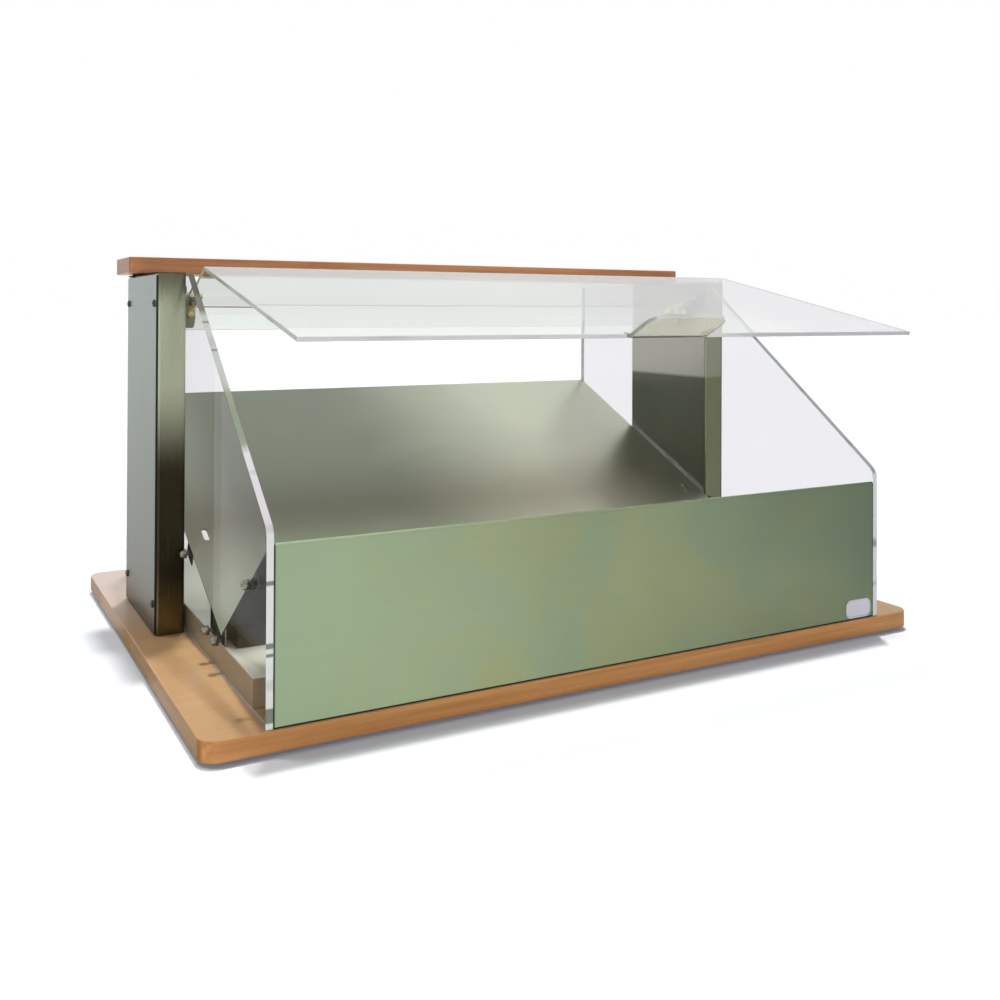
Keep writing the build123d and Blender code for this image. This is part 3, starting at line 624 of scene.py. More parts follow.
def panel_edge_painted_light(tree, place):
    """Painted light: white with painted reflections as dull bands up the front, green then pale up the slant
    with two darker bands, painted shade brown under the lid and near black by the hinge, and a painted
    reflection of the wood at the foot.
    """
    slant_foot = rgb(0.58, 0.55, 0.58)
    slant_green = rgb(0.190, 0.225, 0.155)
    slant_pale = rgb(0.42, 0.44, 0.42)
    slant_band_tone = rgb(0.14, 0.15, 0.13)
    front_white = rgb(0.80, 0.82, 0.79)
    reflected_band_tone = rgb(0.20, 0.23, 0.18)
    under_lid = rgb(0.165, 0.150, 0.110)
    by_hinge = rgb(0.070, 0.064, 0.045)
    near_wood = rgb(0.52, 0.38, 0.27)
    slant = mix_colour(tree, by_height(tree, place, 0.205, 0.214), slant_foot, slant_green)
    slant = mix_colour(tree, by_height(tree, place, 0.248, 0.264), slant, slant_pale)
    slant_bands = rim_bands(tree, place, (0.3122, 0.3140), (0.2870, 0.2885))
    slant = mix_colour(tree, slant_bands, slant, slant_band_tone)
    # The dull bands up the front are painted reflections.
    dull = rim_bands(tree, place, (0.1115, 0.1150), (0.0625, 0.0668), (0.0562, 0.0588), (0.0050, 0.0165))
    front = mix_colour(tree, dull, front_white, reflected_band_tone)
    shown = mix_colour(tree, ramp(tree, facing(tree, place, "z"), 0.2, 0.5), front, slant)
    shown = mix_colour(tree, by_height(tree, place, 0.317, 0.326), shown, under_lid)
    shown = mix_colour(tree, by_height(tree, place, 0.336, 0.343), shown, by_hinge)
    level = ramp(tree, squareness(tree, place, "z"), 0.6, 0.9)
    foot = times(tree, level, by_height(tree, place, 0.3 * MM, 0.8 * MM, 1.0, 0.0))
    return mix_colour(tree, foot, shown, near_wood)


def far_edge_painted_light(tree, place):
    """Right panel: painted light, with painted shade grey on the slant, paler on the upright front."""
    sloping = ramp(tree, facing(tree, place, "z"), 0.2, 0.5)
    return mix_colour(tree, sloping, rgb(0.62, 0.66, 0.68), rgb(0.24, 0.27, 0.27))


def lid_tint_and_painted_light(tree, place):
    """Faint green over most of the lid; the lavender at its right end and the warmer tone on the grip tab and
    skirt are painted light, standing in for what shows through the sheet.
    """
    to_right = ramp(tree, spot(tree, place, "x"), 0.10, 0.26)
    along = mix_colour(tree, to_right, rgb(0.82, 0.85, 0.82), rgb(0.73, 0.70, 0.745))
    skirt = ramp(tree, squareness(tree, place, "y"), 0.8, 0.95, 0.0, 0.5)
    shown = mix_colour(tree, skirt, along, rgb(0.72, 0.75, 0.71))
    tab = fall(tree, spot(tree, place, "y"), lid_front + 28 * MM, lid_front + 32 * MM)
    return mix_colour(tree, tab, shown, rgb(1.0, 0.97, 0.87))


def lid_edge_painted_light(tree, place):
    """Painted light: pale along the front edge, with painted shade towards its right end and on the slanted
    sides.
    """
    to_right = ramp(tree, spot(tree, place, "x"), 0.06, 0.14)
    along = mix_colour(tree, to_right, rgb(0.62, 0.635, 0.61), rgb(0.45, 0.46, 0.48))
    sides = ramp(tree, squareness(tree, place, "x"), 0.5, 0.8)
    return mix_colour(tree, sides, along, rgb(0.36, 0.42, 0.34))


panel_acrylic = clear_acrylic("panel_acrylic", tint=rgb(0.80, 0.79, 0.82), bending=1.05)
lid_acrylic = clear_acrylic("lid_acrylic", tint=lid_tint_and_painted_light, bending=1.56)
panel_edge = buffed_edge(
    "panel_edge", light=panel_edge_painted_light, dark=rgb(0.20, 0.22, 0.19), band_scale=45.0, banding=0.25)
far_panel_edge = buffed_edge(
    "far_panel_edge", light=far_edge_painted_light, dark=rgb(0.17, 0.19, 0.18), band_scale=45.0, banding=0.8)
lid_edge = buffed_edge(
    "lid_edge", light=lid_edge_painted_light, dark=rgb(0.20, 0.22, 0.23), band_scale=24.0, banding=0.35)


def plain_finish(name, light, dark, metallic, gloss, spot_scale, bump=0.05):
    """Small parts: two close tones in a fine mottle, with a matching variation in gloss."""
    material, tree, shader, place = new_material(name)
    spots = noise(tree, place["Object"], spot_scale, 4.0)
    tone = mix_colour(tree, ramp(tree, spots, 0.35, 0.65), dark, light)
    shine = ramp(tree, spots, 0.3, 0.7, gloss * 0.8, gloss * 1.25)
    paint(tree, shader, Base_Color=tone, Roughness=shine, Metallic=metallic)
    add_bump(tree, shader, spots, bump, 0.05 * MM)
    return material


def galvanised_sheet():
    """Dull zinc with a faint mottle, more mirror-like on top towards the back, and browner on its sides, a
    painted reflection of the wooden base.
    """
    material, tree, shader, place = new_material("tray_steel")
    mottle = put(tree, "ShaderNodeTexVoronoi", Vector=place["Object"], Scale=90.0).outputs["Distance"]
    cloud = noise(tree, place["Object"], 9.0, 3.0)
    share = maths(tree, "ADD", times(tree, mottle, 0.35), times(tree, cloud, 0.6))
    # Sides take browner tones: a painted reflection of the wood.
    level = ramp(tree, facing(tree, place, "z"), 0.5, 0.9)
    dull = mix_colour(tree, level, rgb(0.385, 0.340, 0.215), rgb(0.80, 0.83, 0.67))
    pale = mix_colour(tree, level, rgb(0.49, 0.435, 0.295), rgb(0.91, 0.94, 0.78))
    side_shine = 0.35
    top_shine = ramp(tree, spot(tree, place, "y"), -0.12, -0.03, 0.10, 0.75)
    shine = maths(tree, "MULTIPLY_ADD", level, maths(tree, "SUBTRACT", top_shine, side_shine), side_shine)
    gloss = ramp(tree, cloud, 0.3, 0.7, 0.38, 0.5)
    paint(tree, shader, Base_Color=mix_colour(tree, share, dull, pale), Roughness=gloss, Metallic=shine)
    add_bump(tree, shader, mottle, 0.05, 0.05 * MM)
    return material


def turned_brass():
    """Lathe-turned knuckle: fine rings round the hinge axis, and painted shade below and under its ear."""
    material, tree, shader, place = new_material("knuckle_brass")
    z = spot(tree, place, "z")
    rings = put(
        tree, "ShaderNodeTexNoise", {"noise_dimensions": "1D"}, W=times(tree, spot(tree, place, "x"), 2600),
        Scale=1.0, Detail=2.0,
    ).outputs[0]
    tone = mix_colour(tree, rings, rgb(0.82, 0.65, 0.26), rgb(0.97, 0.80, 0.38))
    low_side = fall(tree, z, knuckle_low.z + 12 * MM, knuckle_low.z + 16 * MM, 0.55)
    high_side = ramp(tree, z, knuckle_high.z - 9 * MM, knuckle_high.z - 6 * MM)
    looks_down = fall(tree, facing(tree, place, "z"), -0.7, -0.5)
    shade = either(tree, low_side, times(tree, times(tree, high_side, looks_down), 0.8))
    shaded = mix_colour(tree, shade, tone, rgb(0.16, 0.12, 0.06))
    paint(tree, shader, Base_Color=shaded, Roughness=ramp(tree, rings, 0.2, 0.8, 0.24, 0.4), Metallic=0.5)
    add_bump(tree, shader, rings, 0.2, 0.05 * MM)
    return material


tray_steel = galvanised_sheet()
knuckle_brass = turned_brass()
bright_steel = plain_finish(
    "bright_steel", light=rgb(0.62, 0.61, 0.57), dark=rgb(0.45, 0.44, 0.40),
    metallic=1.0, gloss=0.18, spot_scale=900)
dark_steel = plain_finish(
    "dark_steel", light=rgb(0.10, 0.105, 0.10), dark=rgb(0.04, 0.045, 0.042),
    metallic=1.0, gloss=0.3, spot_scale=700)
worn_steel = plain_finish(
    "worn_steel", light=rgb(0.30, 0.31, 0.25), dark=rgb(0.16, 0.16, 0.13),
    metallic=1.0, gloss=0.14, spot_scale=500, bump=0.3)
white_nylon = plain_finish(
    "white_nylon", light=rgb(0.75, 0.75, 0.72), dark=rgb(0.62, 0.62, 0.59),
    metallic=0.0, gloss=0.45, spot_scale=500)
black_rubber = plain_finish(
    "black_rubber", light=rgb(0.035, 0.035, 0.035), dark=rgb(0.015, 0.015, 0.015),
    metallic=0.0, gloss=0.7, spot_scale=800)
badge_white = plain_finish(
    "badge_white", light=rgb(0.62, 0.62, 0.70), dark=rgb(0.60, 0.60, 0.68),
    metallic=0.0, gloss=0.4, spot_scale=40, bump=0.0)
# Grey for the slope down into the badge's field: painted shade.
badge_painted_shade = plain_finish(
    "badge_painted_shade", light=rgb(0.34, 0.36, 0.42), dark=rgb(0.32, 0.34, 0.40),
    metallic=0.0, gloss=0.4, spot_scale=40, bump=0.0)


def dress(material, *names):
    """Give frame nodes a material."""
    for name in names:
        for kept in nodes[name].material_slots:
            kept.material = material


dress(base_wood, "base_board")
dress(top_wood, "top_board")
dress(trough_steel, "bread_trough")
dress(shaded_cradle_steel, "trough_cradle")
dress(tray_steel, "floor_tray")
dress(post_steel_left, "post_left")
dress(post_steel_right, "post_right")
dress(cover_steel, "post_cover_left", "post_cover_right")
dress(cap_steel, "post_cap_left", "post_cap_right")
dress(knuckle_brass, "hinge_knuckle_left", "hinge_knuckle_right")
dress(white_nylon, "pivot_washer_left", "pivot_washer_right")
dress(dark_steel, "trough_washers_left", "trough_washers_right")
dress(bright_steel, "clinch_nuts_left", "clinch_nuts_right")
dress(black_rubber, "feet")


# ---------------- pieces made over the frame
left_way = Vector((-1, 0, 0))
right_way = Vector((1, 0, 0))
upward = Vector((0, 0, 1))
downward = Vector((0, 0, -1))
forward_way = Vector((0, -1, 0))
same_point = 0.001 * MM
same_plane = math.radians(0.6)
piece_corner = math.radians(35)
fastener_corner = math.radians(32)
skin_corner = math.radians(25)
polished_chamfer = 0.35 * MM
hair_gap = 0.04 * MM
widest_bore = 18 * MM


def joined_copy(node):
    """The node's triangles as one mesh, joined where they meet."""
    shape = bmesh.new()
    shape.from_mesh(nodes[node].data)
    bmesh.ops.remove_doubles(shape, verts=shape.verts, dist=same_point)
    return shape


def merged_copy(node):
    """The node's solid as one joined mesh with flat areas in few faces."""
    shape = joined_copy(node)
    bmesh.ops.dissolve_limit(
        shape, angle_limit=same_plane, verts=shape.verts, edges=shape.edges, use_dissolve_boundaries=False)
    return shape


def smooth_regions(shape, corner):
    """Groups of faces joined without a corner sharper than the given angle, largest area first."""
    left = set(shape.faces)
    regions = []
    while left:
        start = left.pop()
        region = [start]
        waiting = [start]
        while waiting:
            for edge in waiting.pop().edges:
                for face in edge.link_faces:
                    if face in left and edge.calc_face_angle(math.pi) < corner:
                        left.remove(face)
                        region.append(face)
                        waiting.append(face)
        regions.append(region)
    regions.sort(key=lambda region: -sum(face.calc_area() for face in region))
    return regions


def add_piece(name, shape, materials, body, slot_name, *replaced):
    """Turn a bmesh into a smooth shaded piece that stands for frame nodes and rides on a body."""
    mesh = bpy.data.meshes.new(name)
    shape.to_mesh(mesh)
    shape.free()
    for material in materials:
        mesh.materials.append(material)
    mesh.shade_smooth()
    mesh.set_sharp_from_angle(angle=piece_corner)
    piece = add_object(name, mesh)
    weighted = piece.modifiers.new("weighted_normals", "WEIGHTED_NORMAL")
    weighted.keep_sharp = True
    settle(piece)
    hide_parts(*replaced)
    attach(piece, body)


def settle(piece):
    """Apply the piece's modifiers to its own mesh."""
    depsgraph = bpy.context.evaluated_depsgraph_get()
    finished = bpy.data.meshes.new_from_object(piece.evaluated_get(depsgraph))
    piece.modifiers.clear()
    piece.data = finished


def inward_step(vertex):
    """Move that takes every face round a corner point inwards by the hair gap, found in small steps."""
    same_way = 0.99
    step_count = 12
    step_share = 0.7
    ways = []
    for face in vertex.link_faces:
        if all(face.normal.dot(known) < same_way for known in ways):
            ways.append(face.normal.copy())
    move = Vector((0, 0, 0))
    for step in range(step_count):
        for way in ways:
            move -= way * (hair_gap + move.dot(way)) * step_share
    return move


def span(points, way):
    """Least and greatest reach of points along a direction."""
    reaches = [point.dot(way) for point in points]
    return min(reaches), max(reaches)


def is_bore(region):
    """Whether a group of faces is as small as a screw hole."""
    points = [vertex.co for face in region for vertex in face.verts]
    reaches = [span(points, way) for way in (right_way, forward_way, upward)]
    return max(far - near for near, far in reaches) < widest_bore


def acrylic_sheet(name, node, body, materials, skin_count):
    """Sheet with clear skins and bores in its first material, and sawn, chamfered edges in its second."""
    shape = merged_copy(node)
    regions = smooth_regions(shape, skin_corner)
    for face in shape.faces:
        face.material_index = 1
    skins = set()
    for number, region in enumerate(regions):
        if number < skin_count or is_bore(region):
            skins.update(region)
    for face in skins:
        face.material_index = 0
    rims = [edge for edge in shape.edges if sum(face in skins for face in edge.link_faces) == 1]
    bmesh.ops.bevel(
        shape, geom=rims, offset=polished_chamfer, offset_type="OFFSET", segments=1, affect="EDGES",
        clamp_overlap=False, material=1,
    )
    shape.normal_update()
    moves = [(vertex, inward_step(vertex)) for vertex in shape.verts]
    for vertex, move in moves:
        vertex.co += move
    add_piece(name, shape, materials, body, "clear_acrylic", node)


acrylic_sheet("left_side_sheet", "side_panel_left", "cabinet", (panel_acrylic, panel_edge), skin_count=2)
acrylic_sheet(
    "right_side_sheet", "side_panel_right", "cabinet", (panel_acrylic, far_panel_edge), skin_count=2)
acrylic_sheet("bent_lid_sheet", "lid", "lid", (lid_acrylic, lid_edge), skin_count=3)


# ---------------- bare badge plate
def rounded_loop(shape, middle, width, height, radius, depth):
    """Loop of corner points round a rounded rectangle that faces -Y."""
    steps = 8
    loop = []
    for corner in range(4):
        turn = math.pi / 2 * corner
        sign_x = 1 if corner in (0, 3) else -1
        sign_z = 1 if corner in (0, 1) else -1
        for step in range(steps + 1):
            angle = turn + math.pi / 2 * step / steps
            x = middle.x + sign_x * (width / 2 - radius) + radius * math.cos(angle)
            z = middle.z + sign_z * (height / 2 - radius) + radius * math.sin(angle)
            loop.append(shape.verts.new((x, depth, z)))
    return loop


def bare_badge():
    """Blank pressed plate: sloped rim, raised border, and a flat sunk field without lettering."""
    low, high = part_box("badge_plate")
    middle = (low + high) / 2
    width = high.x - low.x
    height = high.z - low.z
    back = high.y
    front = low.y
    thickness = back - front
    field = front + 0.35 * thickness
    round_end = 0.36 * height
    border_slope = 3
    shape = bmesh.new()
    steps = (
        (0.0, back),
        (0.0, back - 0.3 * thickness),
        (0.35 * MM, front),
        (1.5 * MM, front),
        (1.9 * MM, field),
    )
    loops = []
    for inset, depth in steps:
        loops.append(rounded_loop(
            shape, middle, width - 2 * inset, height - 2 * inset, round_end - inset, depth))
    for index in range(len(loops) - 1):
        outer = loops[index]
        inner = loops[index + 1]
        for place in range(len(outer)):
            after = (place + 1) % len(outer)
            face = shape.faces.new((outer[place], inner[place], inner[after], outer[after]))
            # The slope down into the field takes the grey of painted shade.
            face.material_index = 1 if index == border_slope else 0
    shape.faces.new(loops[0])
    shape.faces.new(list(reversed(loops[-1])))
    bmesh.ops.recalc_face_normals(shape, faces=shape.faces)
    add_piece("blank_badge", shape, (badge_white, badge_painted_shade), "cabinet", "badge_metal", "badge_plate")


bare_badge()


# ---------------- screws and nuts
def solids_of(node):
    """Corner points of each loose solid in a node, as one list for each, from left to right."""
    shape = joined_copy(node)
    left = set(shape.verts)
    solids = []
    for start in shape.verts:
        if start not in left:
            continue
        left.remove(start)
        waiting = [start]
        points = []
        while waiting:
            vertex = waiting.pop()
            points.append(vertex.co.copy())
            for edge in vertex.link_edges:
                other = edge.other_vert(vertex)
                if other in left:
                    left.remove(other)
                    waiting.append(other)
        solids.append(points)
    shape.free()
    solids.sort(key=lambda points: (round(points[0].x, 3), points[0].y, points[0].z))
    return solids


def measured(points, heading):
    """Point on a solid's centre line at its far end in the heading, its length, and its width."""
    turn = heading.to_track_quat("Z", "Y")
    sideways = turn @ Vector((1, 0, 0))
    across = turn @ Vector((0, 1, 0))
    near, far = span(points, heading)
    left, right = span(points, sideways)
    low, high = span(points, across)
    end = heading * far + sideways * (left + right) / 2 + across * (low + high) / 2
    return end, far - near, min(right - left, high - low)


def commonest_facing(node, toward):
    """Direction that most of the node's flat area within 60 degrees of another direction looks in."""
    areas = {}
    for polygon in nodes[node].data.polygons:
        if polygon.normal.dot(toward) > math.cos(math.radians(60)):
            key = tuple(round(part, 3) for part in polygon.normal)
            areas[key] = areas.get(key, 0) + polygon.area
    return Vector(max(areas, key=areas.get)).normalized()


def index_switch(tree, index, *values):
    """The value that stands at a whole number's place in a list."""
    node = put(tree, "GeometryNodeIndexSwitch", {"data_type": "FLOAT"})
    while len(node.index_switch_items) < len(values):
        node.index_switch_items.new()
    fill(tree, node.inputs, (index, *values))
    return node.outputs[0]


def lathe_tree(name, sizes, around, rings):
    """Tree that bends a grid into rings round Z and puts the shape on every point.

    rings gets the tree, the size sockets and the angle, and returns each ring's radius and height.
    """
    tree = bpy.data.node_groups.new(name, "GeometryNodeTree")
    sockets = [("Geometry", "NodeSocketGeometry")] + [(label, FLOAT) for label in sizes]
    sockets += [("Turn", "NodeSocketRotation"), ("Material", "NodeSocketMaterial")]
    for label, kind in sockets:
        tree.interface.new_socket(label, in_out="INPUT", socket_type=kind)
    tree.interface.new_socket("Geometry", in_out="OUTPUT", socket_type="NodeSocketGeometry")
    entry = tree.nodes.new("NodeGroupInput").outputs
    leave = tree.nodes.new("NodeGroupOutput").inputs
    index = tree.nodes.new("GeometryNodeInputIndex").outputs[0]
    ring = maths(tree, "FLOOR", maths(tree, "DIVIDE", index, around + 1.0))
    column = maths(tree, "MODULO", index, around + 1.0)
    angle = times(tree, column, 2 * math.pi / around)
    radii, heights = rings(tree, entry, angle)
    grid = put(tree, "GeometryNodeMeshGrid", Vertices_X=len(radii), Vertices_Y=around + 1)
    radius = index_switch(tree, ring, *radii)
    height = index_switch(tree, ring, *heights)
    place = put(
        tree, "ShaderNodeCombineXYZ", X=times(tree, radius, maths(tree, "COSINE", angle)),
        Y=times(tree, radius, maths(tree, "SINE", angle)), Z=height,
    ).outputs[0]
    turned = put(tree, "GeometryNodeSetPosition", Geometry=grid.outputs[0], Position=place).outputs[0]
    closed = put(tree, "GeometryNodeMergeByDistance", Geometry=turned, Distance=0.002 * MM).outputs[0]
    faced = put(tree, "GeometryNodeFlipFaces", Mesh=closed).outputs[0]
    placed = put(
        tree, "GeometryNodeInstanceOnPoints", Points=entry["Geometry"], Instance=faced,
        Rotation=entry["Turn"],
    ).outputs[0]
    real = put(tree, "GeometryNodeRealizeInstances", Geometry=placed).outputs[0]
    painted = put(tree, "GeometryNodeSetMaterial", Geometry=real, Material=entry["Material"]).outputs[0]
    tree.links.new(painted, leave["Geometry"])
    return tree


def hexagon_radius(tree, across_flats, angle):
    """Distance from the middle of a hexagon to its side at an angle."""
    sixth = math.pi / 3
    within = maths(tree, "SUBTRACT", maths(tree, "MODULO", angle, sixth), sixth / 2)
    return maths(tree, "DIVIDE", times(tree, across_flats, 0.5), maths(tree, "COSINE", within))


def button_screw_rings(tree, size, angle):
    """Socket floor, socket wall, dome, rim, underside, and shank with rolled thread."""
    dome_steps = 5
    crown_share = 0.42
    thread_turns = 8
    head = times(tree, size["Head Diameter"], 0.5)
    shank = times(tree, size["Shank Diameter"], 0.5)
    socket = hexagon_radius(tree, size["Socket Width"], angle)
    top = size["Head Height"]
    rim = times(tree, top, 0.30)
    crown = maths(tree, "SUBTRACT", top, rim)
    floor = maths(tree, "SUBTRACT", top, size["Socket Depth"])
    radii = [0.0, socket, socket, maths(tree, "MULTIPLY_ADD", socket, 1.0, 0.12 * MM)]
    heights = [floor, floor, times(tree, top, 0.97), top]
    socket_lip = radii[-1]
    for step in range(1, dome_steps + 1):
        lean = step / dome_steps * math.pi / 2
        dome = times(tree, head, crown_share + (1 - crown_share) * math.sin(lean))
        radii.append(either(tree, dome, socket_lip))
        heights.append(maths(tree, "ADD", rim, times(tree, crown, math.cos(lean))))
    radii += [head, shank]
    heights += [0.0, 0.0]
    root = times(tree, shank, 0.86)
    for turn in range(thread_turns):
        for part, radius in ((0.25, root), (0.75, shank)):
            radii.append(radius)
            heights.append(times(tree, size["Shank Length"], -(turn + part) / (thread_turns + 0.6)))
    radii += [root, 0.0]
    end = times(tree, size["Shank Length"], -1.0)
    heights += [end, end]
    return radii, heights


def flat_screw_rings(tree, size, angle):
    """Countersunk head flush with its top, then the shank."""
    head = times(tree, size["Head Diameter"], 0.5)
    shank = times(tree, size["Shank Diameter"], 0.5)
    socket = hexagon_radius(tree, size["Socket Width"], angle)
    cone = maths(tree, "SUBTRACT", shank, head)
    end = times(tree, size["Shank Length"], -1.0)
    floor = times(tree, size["Socket Depth"], -1.0)
    radii = [0.0, socket, socket, times(tree, head, 0.97), head, shank, shank, 0.0]
    heights = [floor, floor, 0.0, 0.0, -0.05 * MM, cone, end, end]
    return radii, heights


def hex_nut_rings(tree, size, angle):
    """Bore, chamfered corners and flats of a plain nut, as one closed ring."""
    chamfer = 0.3 * MM
    corner_slope = 0.58
    flat = times(tree, size["Across Flats"], 0.5)
    corner = hexagon_radius(tree, size["Across Flats"], angle)
    bore = times(tree, size["Bore"], 0.5)
    wide_bore = maths(tree, "ADD", bore, chamfer)
    face_rim = times(tree, flat, 0.96)
    drop = times(tree, maths(tree, "SUBTRACT", corner, face_rim), corner_slope)
    top = size["Height"]
    under = maths(tree, "SUBTRACT", top, drop)
    lip = maths(tree, "SUBTRACT", top, chamfer)
    radii = [bore, wide_bore, face_rim, corner, corner, face_rim, wide_bore, bore, bore]
    heights = [chamfer, 0.0, 0.0, drop, under, top, top, lip, chamfer]
    return radii, heights


button_screw_sizes = ("Head Diameter", "Head Height", "Socket Width", "Socket Depth", "Shank Diameter",
                      "Shank Length")
flat_screw_sizes = ("Head Diameter", "Socket Width", "Socket Depth", "Shank Diameter", "Shank Length")
nut_sizes = ("Across Flats", "Height", "Bore")
button_screw = lathe_tree("button_screw", button_screw_sizes, 24, button_screw_rings)
flat_screw = lathe_tree("flat_screw", flat_screw_sizes, 24, flat_screw_rings)
hex_nut = lathe_tree("hex_nut", nut_sizes, 48, hex_nut_rings)


def scatter(name, tree, points, heading, material, sizes, *replaced):
    """Put one kind of fastener on points, its Z along the heading, in place of frame nodes."""
    mesh = bpy.data.meshes.new(name)
    mesh.from_pydata([tuple(point) for point in points], [], [])
    piece = add_object(name, mesh)
    modifier = piece.modifiers.new(name, "NODES")
    modifier.node_group = tree
    values = dict(sizes)
    values["Turn"] = heading.to_track_quat("Z", "Y").to_euler()
    values["Material"] = material
    for item in tree.interface.items_tree:
        if item.in_out == "INPUT" and item.name in values:
            modifier[item.identifier] = values[item.name]
    settle(piece)
    piece.data.shade_smooth()
    piece.data.set_sharp_from_angle(angle=fastener_corner)
    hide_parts(*replaced)
    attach(piece, nodes[replaced[0]]["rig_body"])


def button_screws(name, node, solids, heading, material, head_height, socket_width):
    """Domed socket screws in place of some of a node's solids, with their heads looking along the heading."""
    ends = [measured(points, heading) for points in solids]
    end, length, width = ends[0]
    sizes = {
        "Head Diameter": width,
        "Head Height": head_height,
        "Socket Width": socket_width,
        "Socket Depth": 0.6 * head_height,
        "Shank Diameter": 1.6 * socket_width,
        "Shank Length": length - head_height,
    }
    seats = [end - heading * head_height for end, length, width in ends]
    scatter(name, button_screw, seats, heading, material, sizes, node)


def domed_screws(node, heading, material, head_height, socket_width):
    """Domed socket screws in place of all of a node's solids."""
    button_screws(node + "_domed", node, solids_of(node), heading, material, head_height, socket_width)


def flush_screws(node, heading, material, socket_width):
    """Countersunk socket screws whose flush heads look along the heading."""
    ends = [measured(points, heading) for points in solids_of(node)]
    end, length, width = ends[0]
    sizes = {
        "Head Diameter": width,
        "Socket Width": socket_width,
        "Socket Depth": 0.8 * socket_width,
        "Shank Diameter": width / 1.9,
        "Shank Length": length,
    }
    seats = [end for end, length, width in ends]
    scatter(node + "_flush", flat_screw, seats, heading, material, sizes, node)


def hex_nuts(node, heading, material, bore):
    """Chamfered nuts in place of a node's hexagons."""
    ends = [measured(points, heading) for points in solids_of(node)]
    end, length, width = ends[0]
    sizes = {"Across Flats": width, "Height": length, "Bore": bore}
    seats = [end - heading * length for end, length, width in ends]
    scatter(node + "_hex", hex_nut, seats, heading, material, sizes, node)


small_socket = 2.5 * MM
medium_socket = 3.0 * MM
large_socket = 4.0 * MM
for side_name, outward in (("left", left_way), ("right", right_way)):
    domed_screws("trough_screws_" + side_name, outward, worn_steel, 5.6 * MM, small_socket)
    domed_screws("cover_screws_" + side_name, outward, dark_steel, 2.2 * MM, small_socket)
    flush_screws("panel_screws_" + side_name, -outward, bright_steel, medium_socket)
    domed_screws("pivot_bolt_" + side_name, -outward, bright_steel, 4.5 * MM, large_socket)
    hex_nuts("panel_nuts_" + side_name, outward, bright_steel, 5.0 * MM)
    hex_nuts("pivot_nut_" + side_name, outward, bright_steel, 6.4 * MM)
domed_screws("cradle_screws", upward, bright_steel, 2.2 * MM, small_socket)
domed_screws("tray_bolts", downward, bright_steel, 3.0 * MM, medium_socket)
domed_screws("post_bolts", downward, bright_steel, 4.0 * MM, large_socket)
domed_screws("top_board_screws", downward, bright_steel, 3.0 * MM, medium_socket)
domed_screws("foot_screws", downward, bright_steel, 1.2 * MM, small_socket)
hex_nuts("cradle_nuts", upward, bright_steel, 4.0 * MM)
hex_nuts("tray_nuts", upward, bright_steel, 5.0 * MM)
hex_nuts("post_nuts", upward, bright_steel, 6.0 * MM)
flap_facing = commonest_facing("lid_nuts", upward)
hex_nuts("lid_nuts", flap_facing, worn_steel, 4.0 * MM)
level_screws = []
steep_screws = []
for screw_points in solids_of("lid_screws"):
    screw_back, screw_front = span(screw_points, forward_way)
    screw_foot, screw_top = span(screw_points, upward)
    if screw_front - screw_back > screw_top - screw_foot:
        level_screws.append(screw_points)
    else:
        steep_screws.append(screw_points)
lid_head = 2.2 * MM
button_screws(
    "skirt_screws_domed", "lid_screws", level_screws, forward_way, knuckle_brass, lid_head, small_socket)
button_screws(
    "flap_screws_domed", "lid_screws", steep_screws, flap_facing, bright_steel, lid_head, small_socket)


# ---------------- studio
sky_light = 0.27
floor_shade = 0.80
floor_glow = 0.06
floor_reach = 60.0
cool_glow = rgb(1.0, 1.4, 2.0)


def showing_rays(tree):
    """1 for rays that show the room itself, from the camera, metal or glass, and 0 for the rest."""
    path = tree.nodes.new("ShaderNodeLightPath").outputs
    return either(tree, path["Is Camera Ray"], path["Is Transmission Ray"], path["Is Glossy Ray"])


def make_world():
    """Soft even light. The camera, metal and glass see plain white."""
    world = bpy.data.worlds.new("studio")
    bpy.context.scene.world = world
    world.use_nodes = True
    tree = world.node_tree
    tree.nodes.clear()
    strength = ramp(tree, showing_rays(tree), 0.0, 1.0, sky_light, 1.0, smooth=False)
    light = put(tree, "ShaderNodeBackground", Color=white, Strength=strength)
    output = tree.nodes.new("ShaderNodeOutputWorld")
    tree.links.new(light.outputs[0], output.inputs[0])


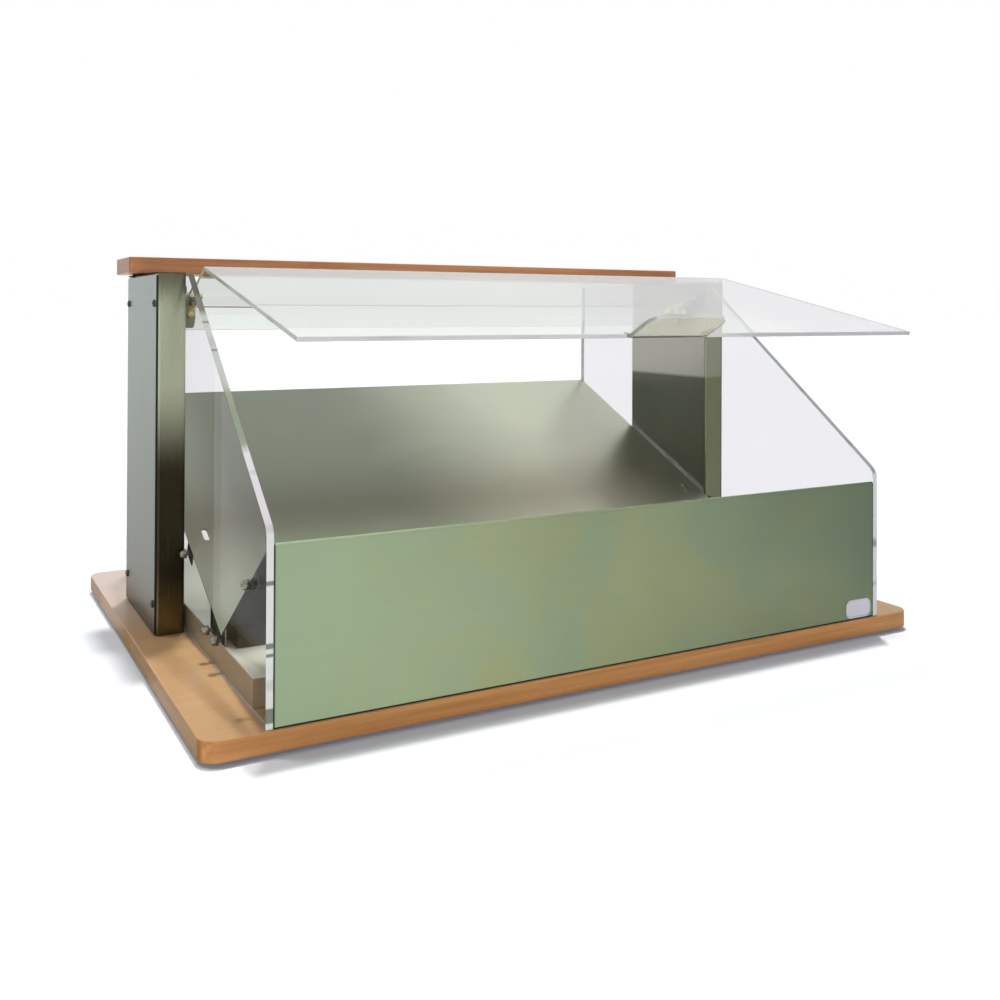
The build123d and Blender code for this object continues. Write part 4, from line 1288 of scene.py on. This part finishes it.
def make_floor():
    """Wide white floor that keeps the bin's shadow, faintly cool where the camera sees it."""
    mesh = bpy.data.meshes.new("floor")
    corners = [(x * floor_reach, y * floor_reach, 0) for x, y in ((-1, -1), (1, -1), (1, 1), (-1, 1))]
    mesh.from_pydata(corners, [], [(0, 1, 2, 3)])
    floor = add_object("floor", mesh)
    material = bpy.data.materials.new("floor_white")
    material.use_nodes = True
    tree = material.node_tree
    tree.nodes.clear()
    matte = put(tree, "ShaderNodeBsdfDiffuse", Color=rgb(floor_shade, floor_shade, floor_shade))
    path = tree.nodes.new("ShaderNodeLightPath").outputs
    glow_tone = mix_colour(tree, path["Is Camera Ray"], white, cool_glow)
    glow_strength = times(tree, showing_rays(tree), floor_glow)
    glow = put(tree, "ShaderNodeEmission", Color=glow_tone, Strength=glow_strength)
    both = tree.nodes.new("ShaderNodeAddShader")
    tree.links.new(matte.outputs[0], both.inputs[0])
    tree.links.new(glow.outputs[0], both.inputs[1])
    output = tree.nodes.new("ShaderNodeOutputMaterial")
    tree.links.new(both.outputs[0], output.inputs["Surface"])
    mesh.materials.append(material)


def add_soft_sun(name, heading, softness, strength):
    """Distant lamp that metal and glass don't mirror."""
    data = bpy.data.lights.new(name, "SUN")
    data.angle = math.radians(softness)
    data.energy = strength
    lamp = add_object(name, data)
    lamp.rotation_euler = Vector(heading).to_track_quat("-Z", "Y").to_euler()
    lamp.visible_glossy = False


def add_tray_light(name, place, width, depth, power):
    """Small soft lamp under the trough that gives the tray the light the white room throws in."""
    data = bpy.data.lights.new(name, "AREA")
    data.shape = "RECTANGLE"
    data.size = width
    data.size_y = depth
    data.energy = power
    lamp = add_object(name, data)
    lamp.location = place
    lamp.visible_camera = False
    lamp.visible_glossy = False
    lamp.visible_transmission = False


make_world()
make_floor()
add_soft_sun("key", heading=(-0.092, -0.18, -1.0), softness=4, strength=2.30)
add_soft_sun("second_key", heading=(0.16, -0.13, -1.0), softness=5, strength=0.82)
add_soft_sun("front_fill", heading=(0.45, 0.90, -0.06), softness=20, strength=1.05)
add_tray_light(
    "front_tray_light", place=(tray_low.x + 0.09, tray_low.y + 0.062, tray_high.z + 0.030),
    width=0.18, depth=0.05, power=0.075,
)
add_tray_light(
    "rear_tray_light", place=(tray_low.x + 0.06, 0.03, tray_high.z + 0.06),
    width=0.12, depth=0.16, power=0.10,
)
bpy.context.scene.view_settings.view_transform = "Standard"
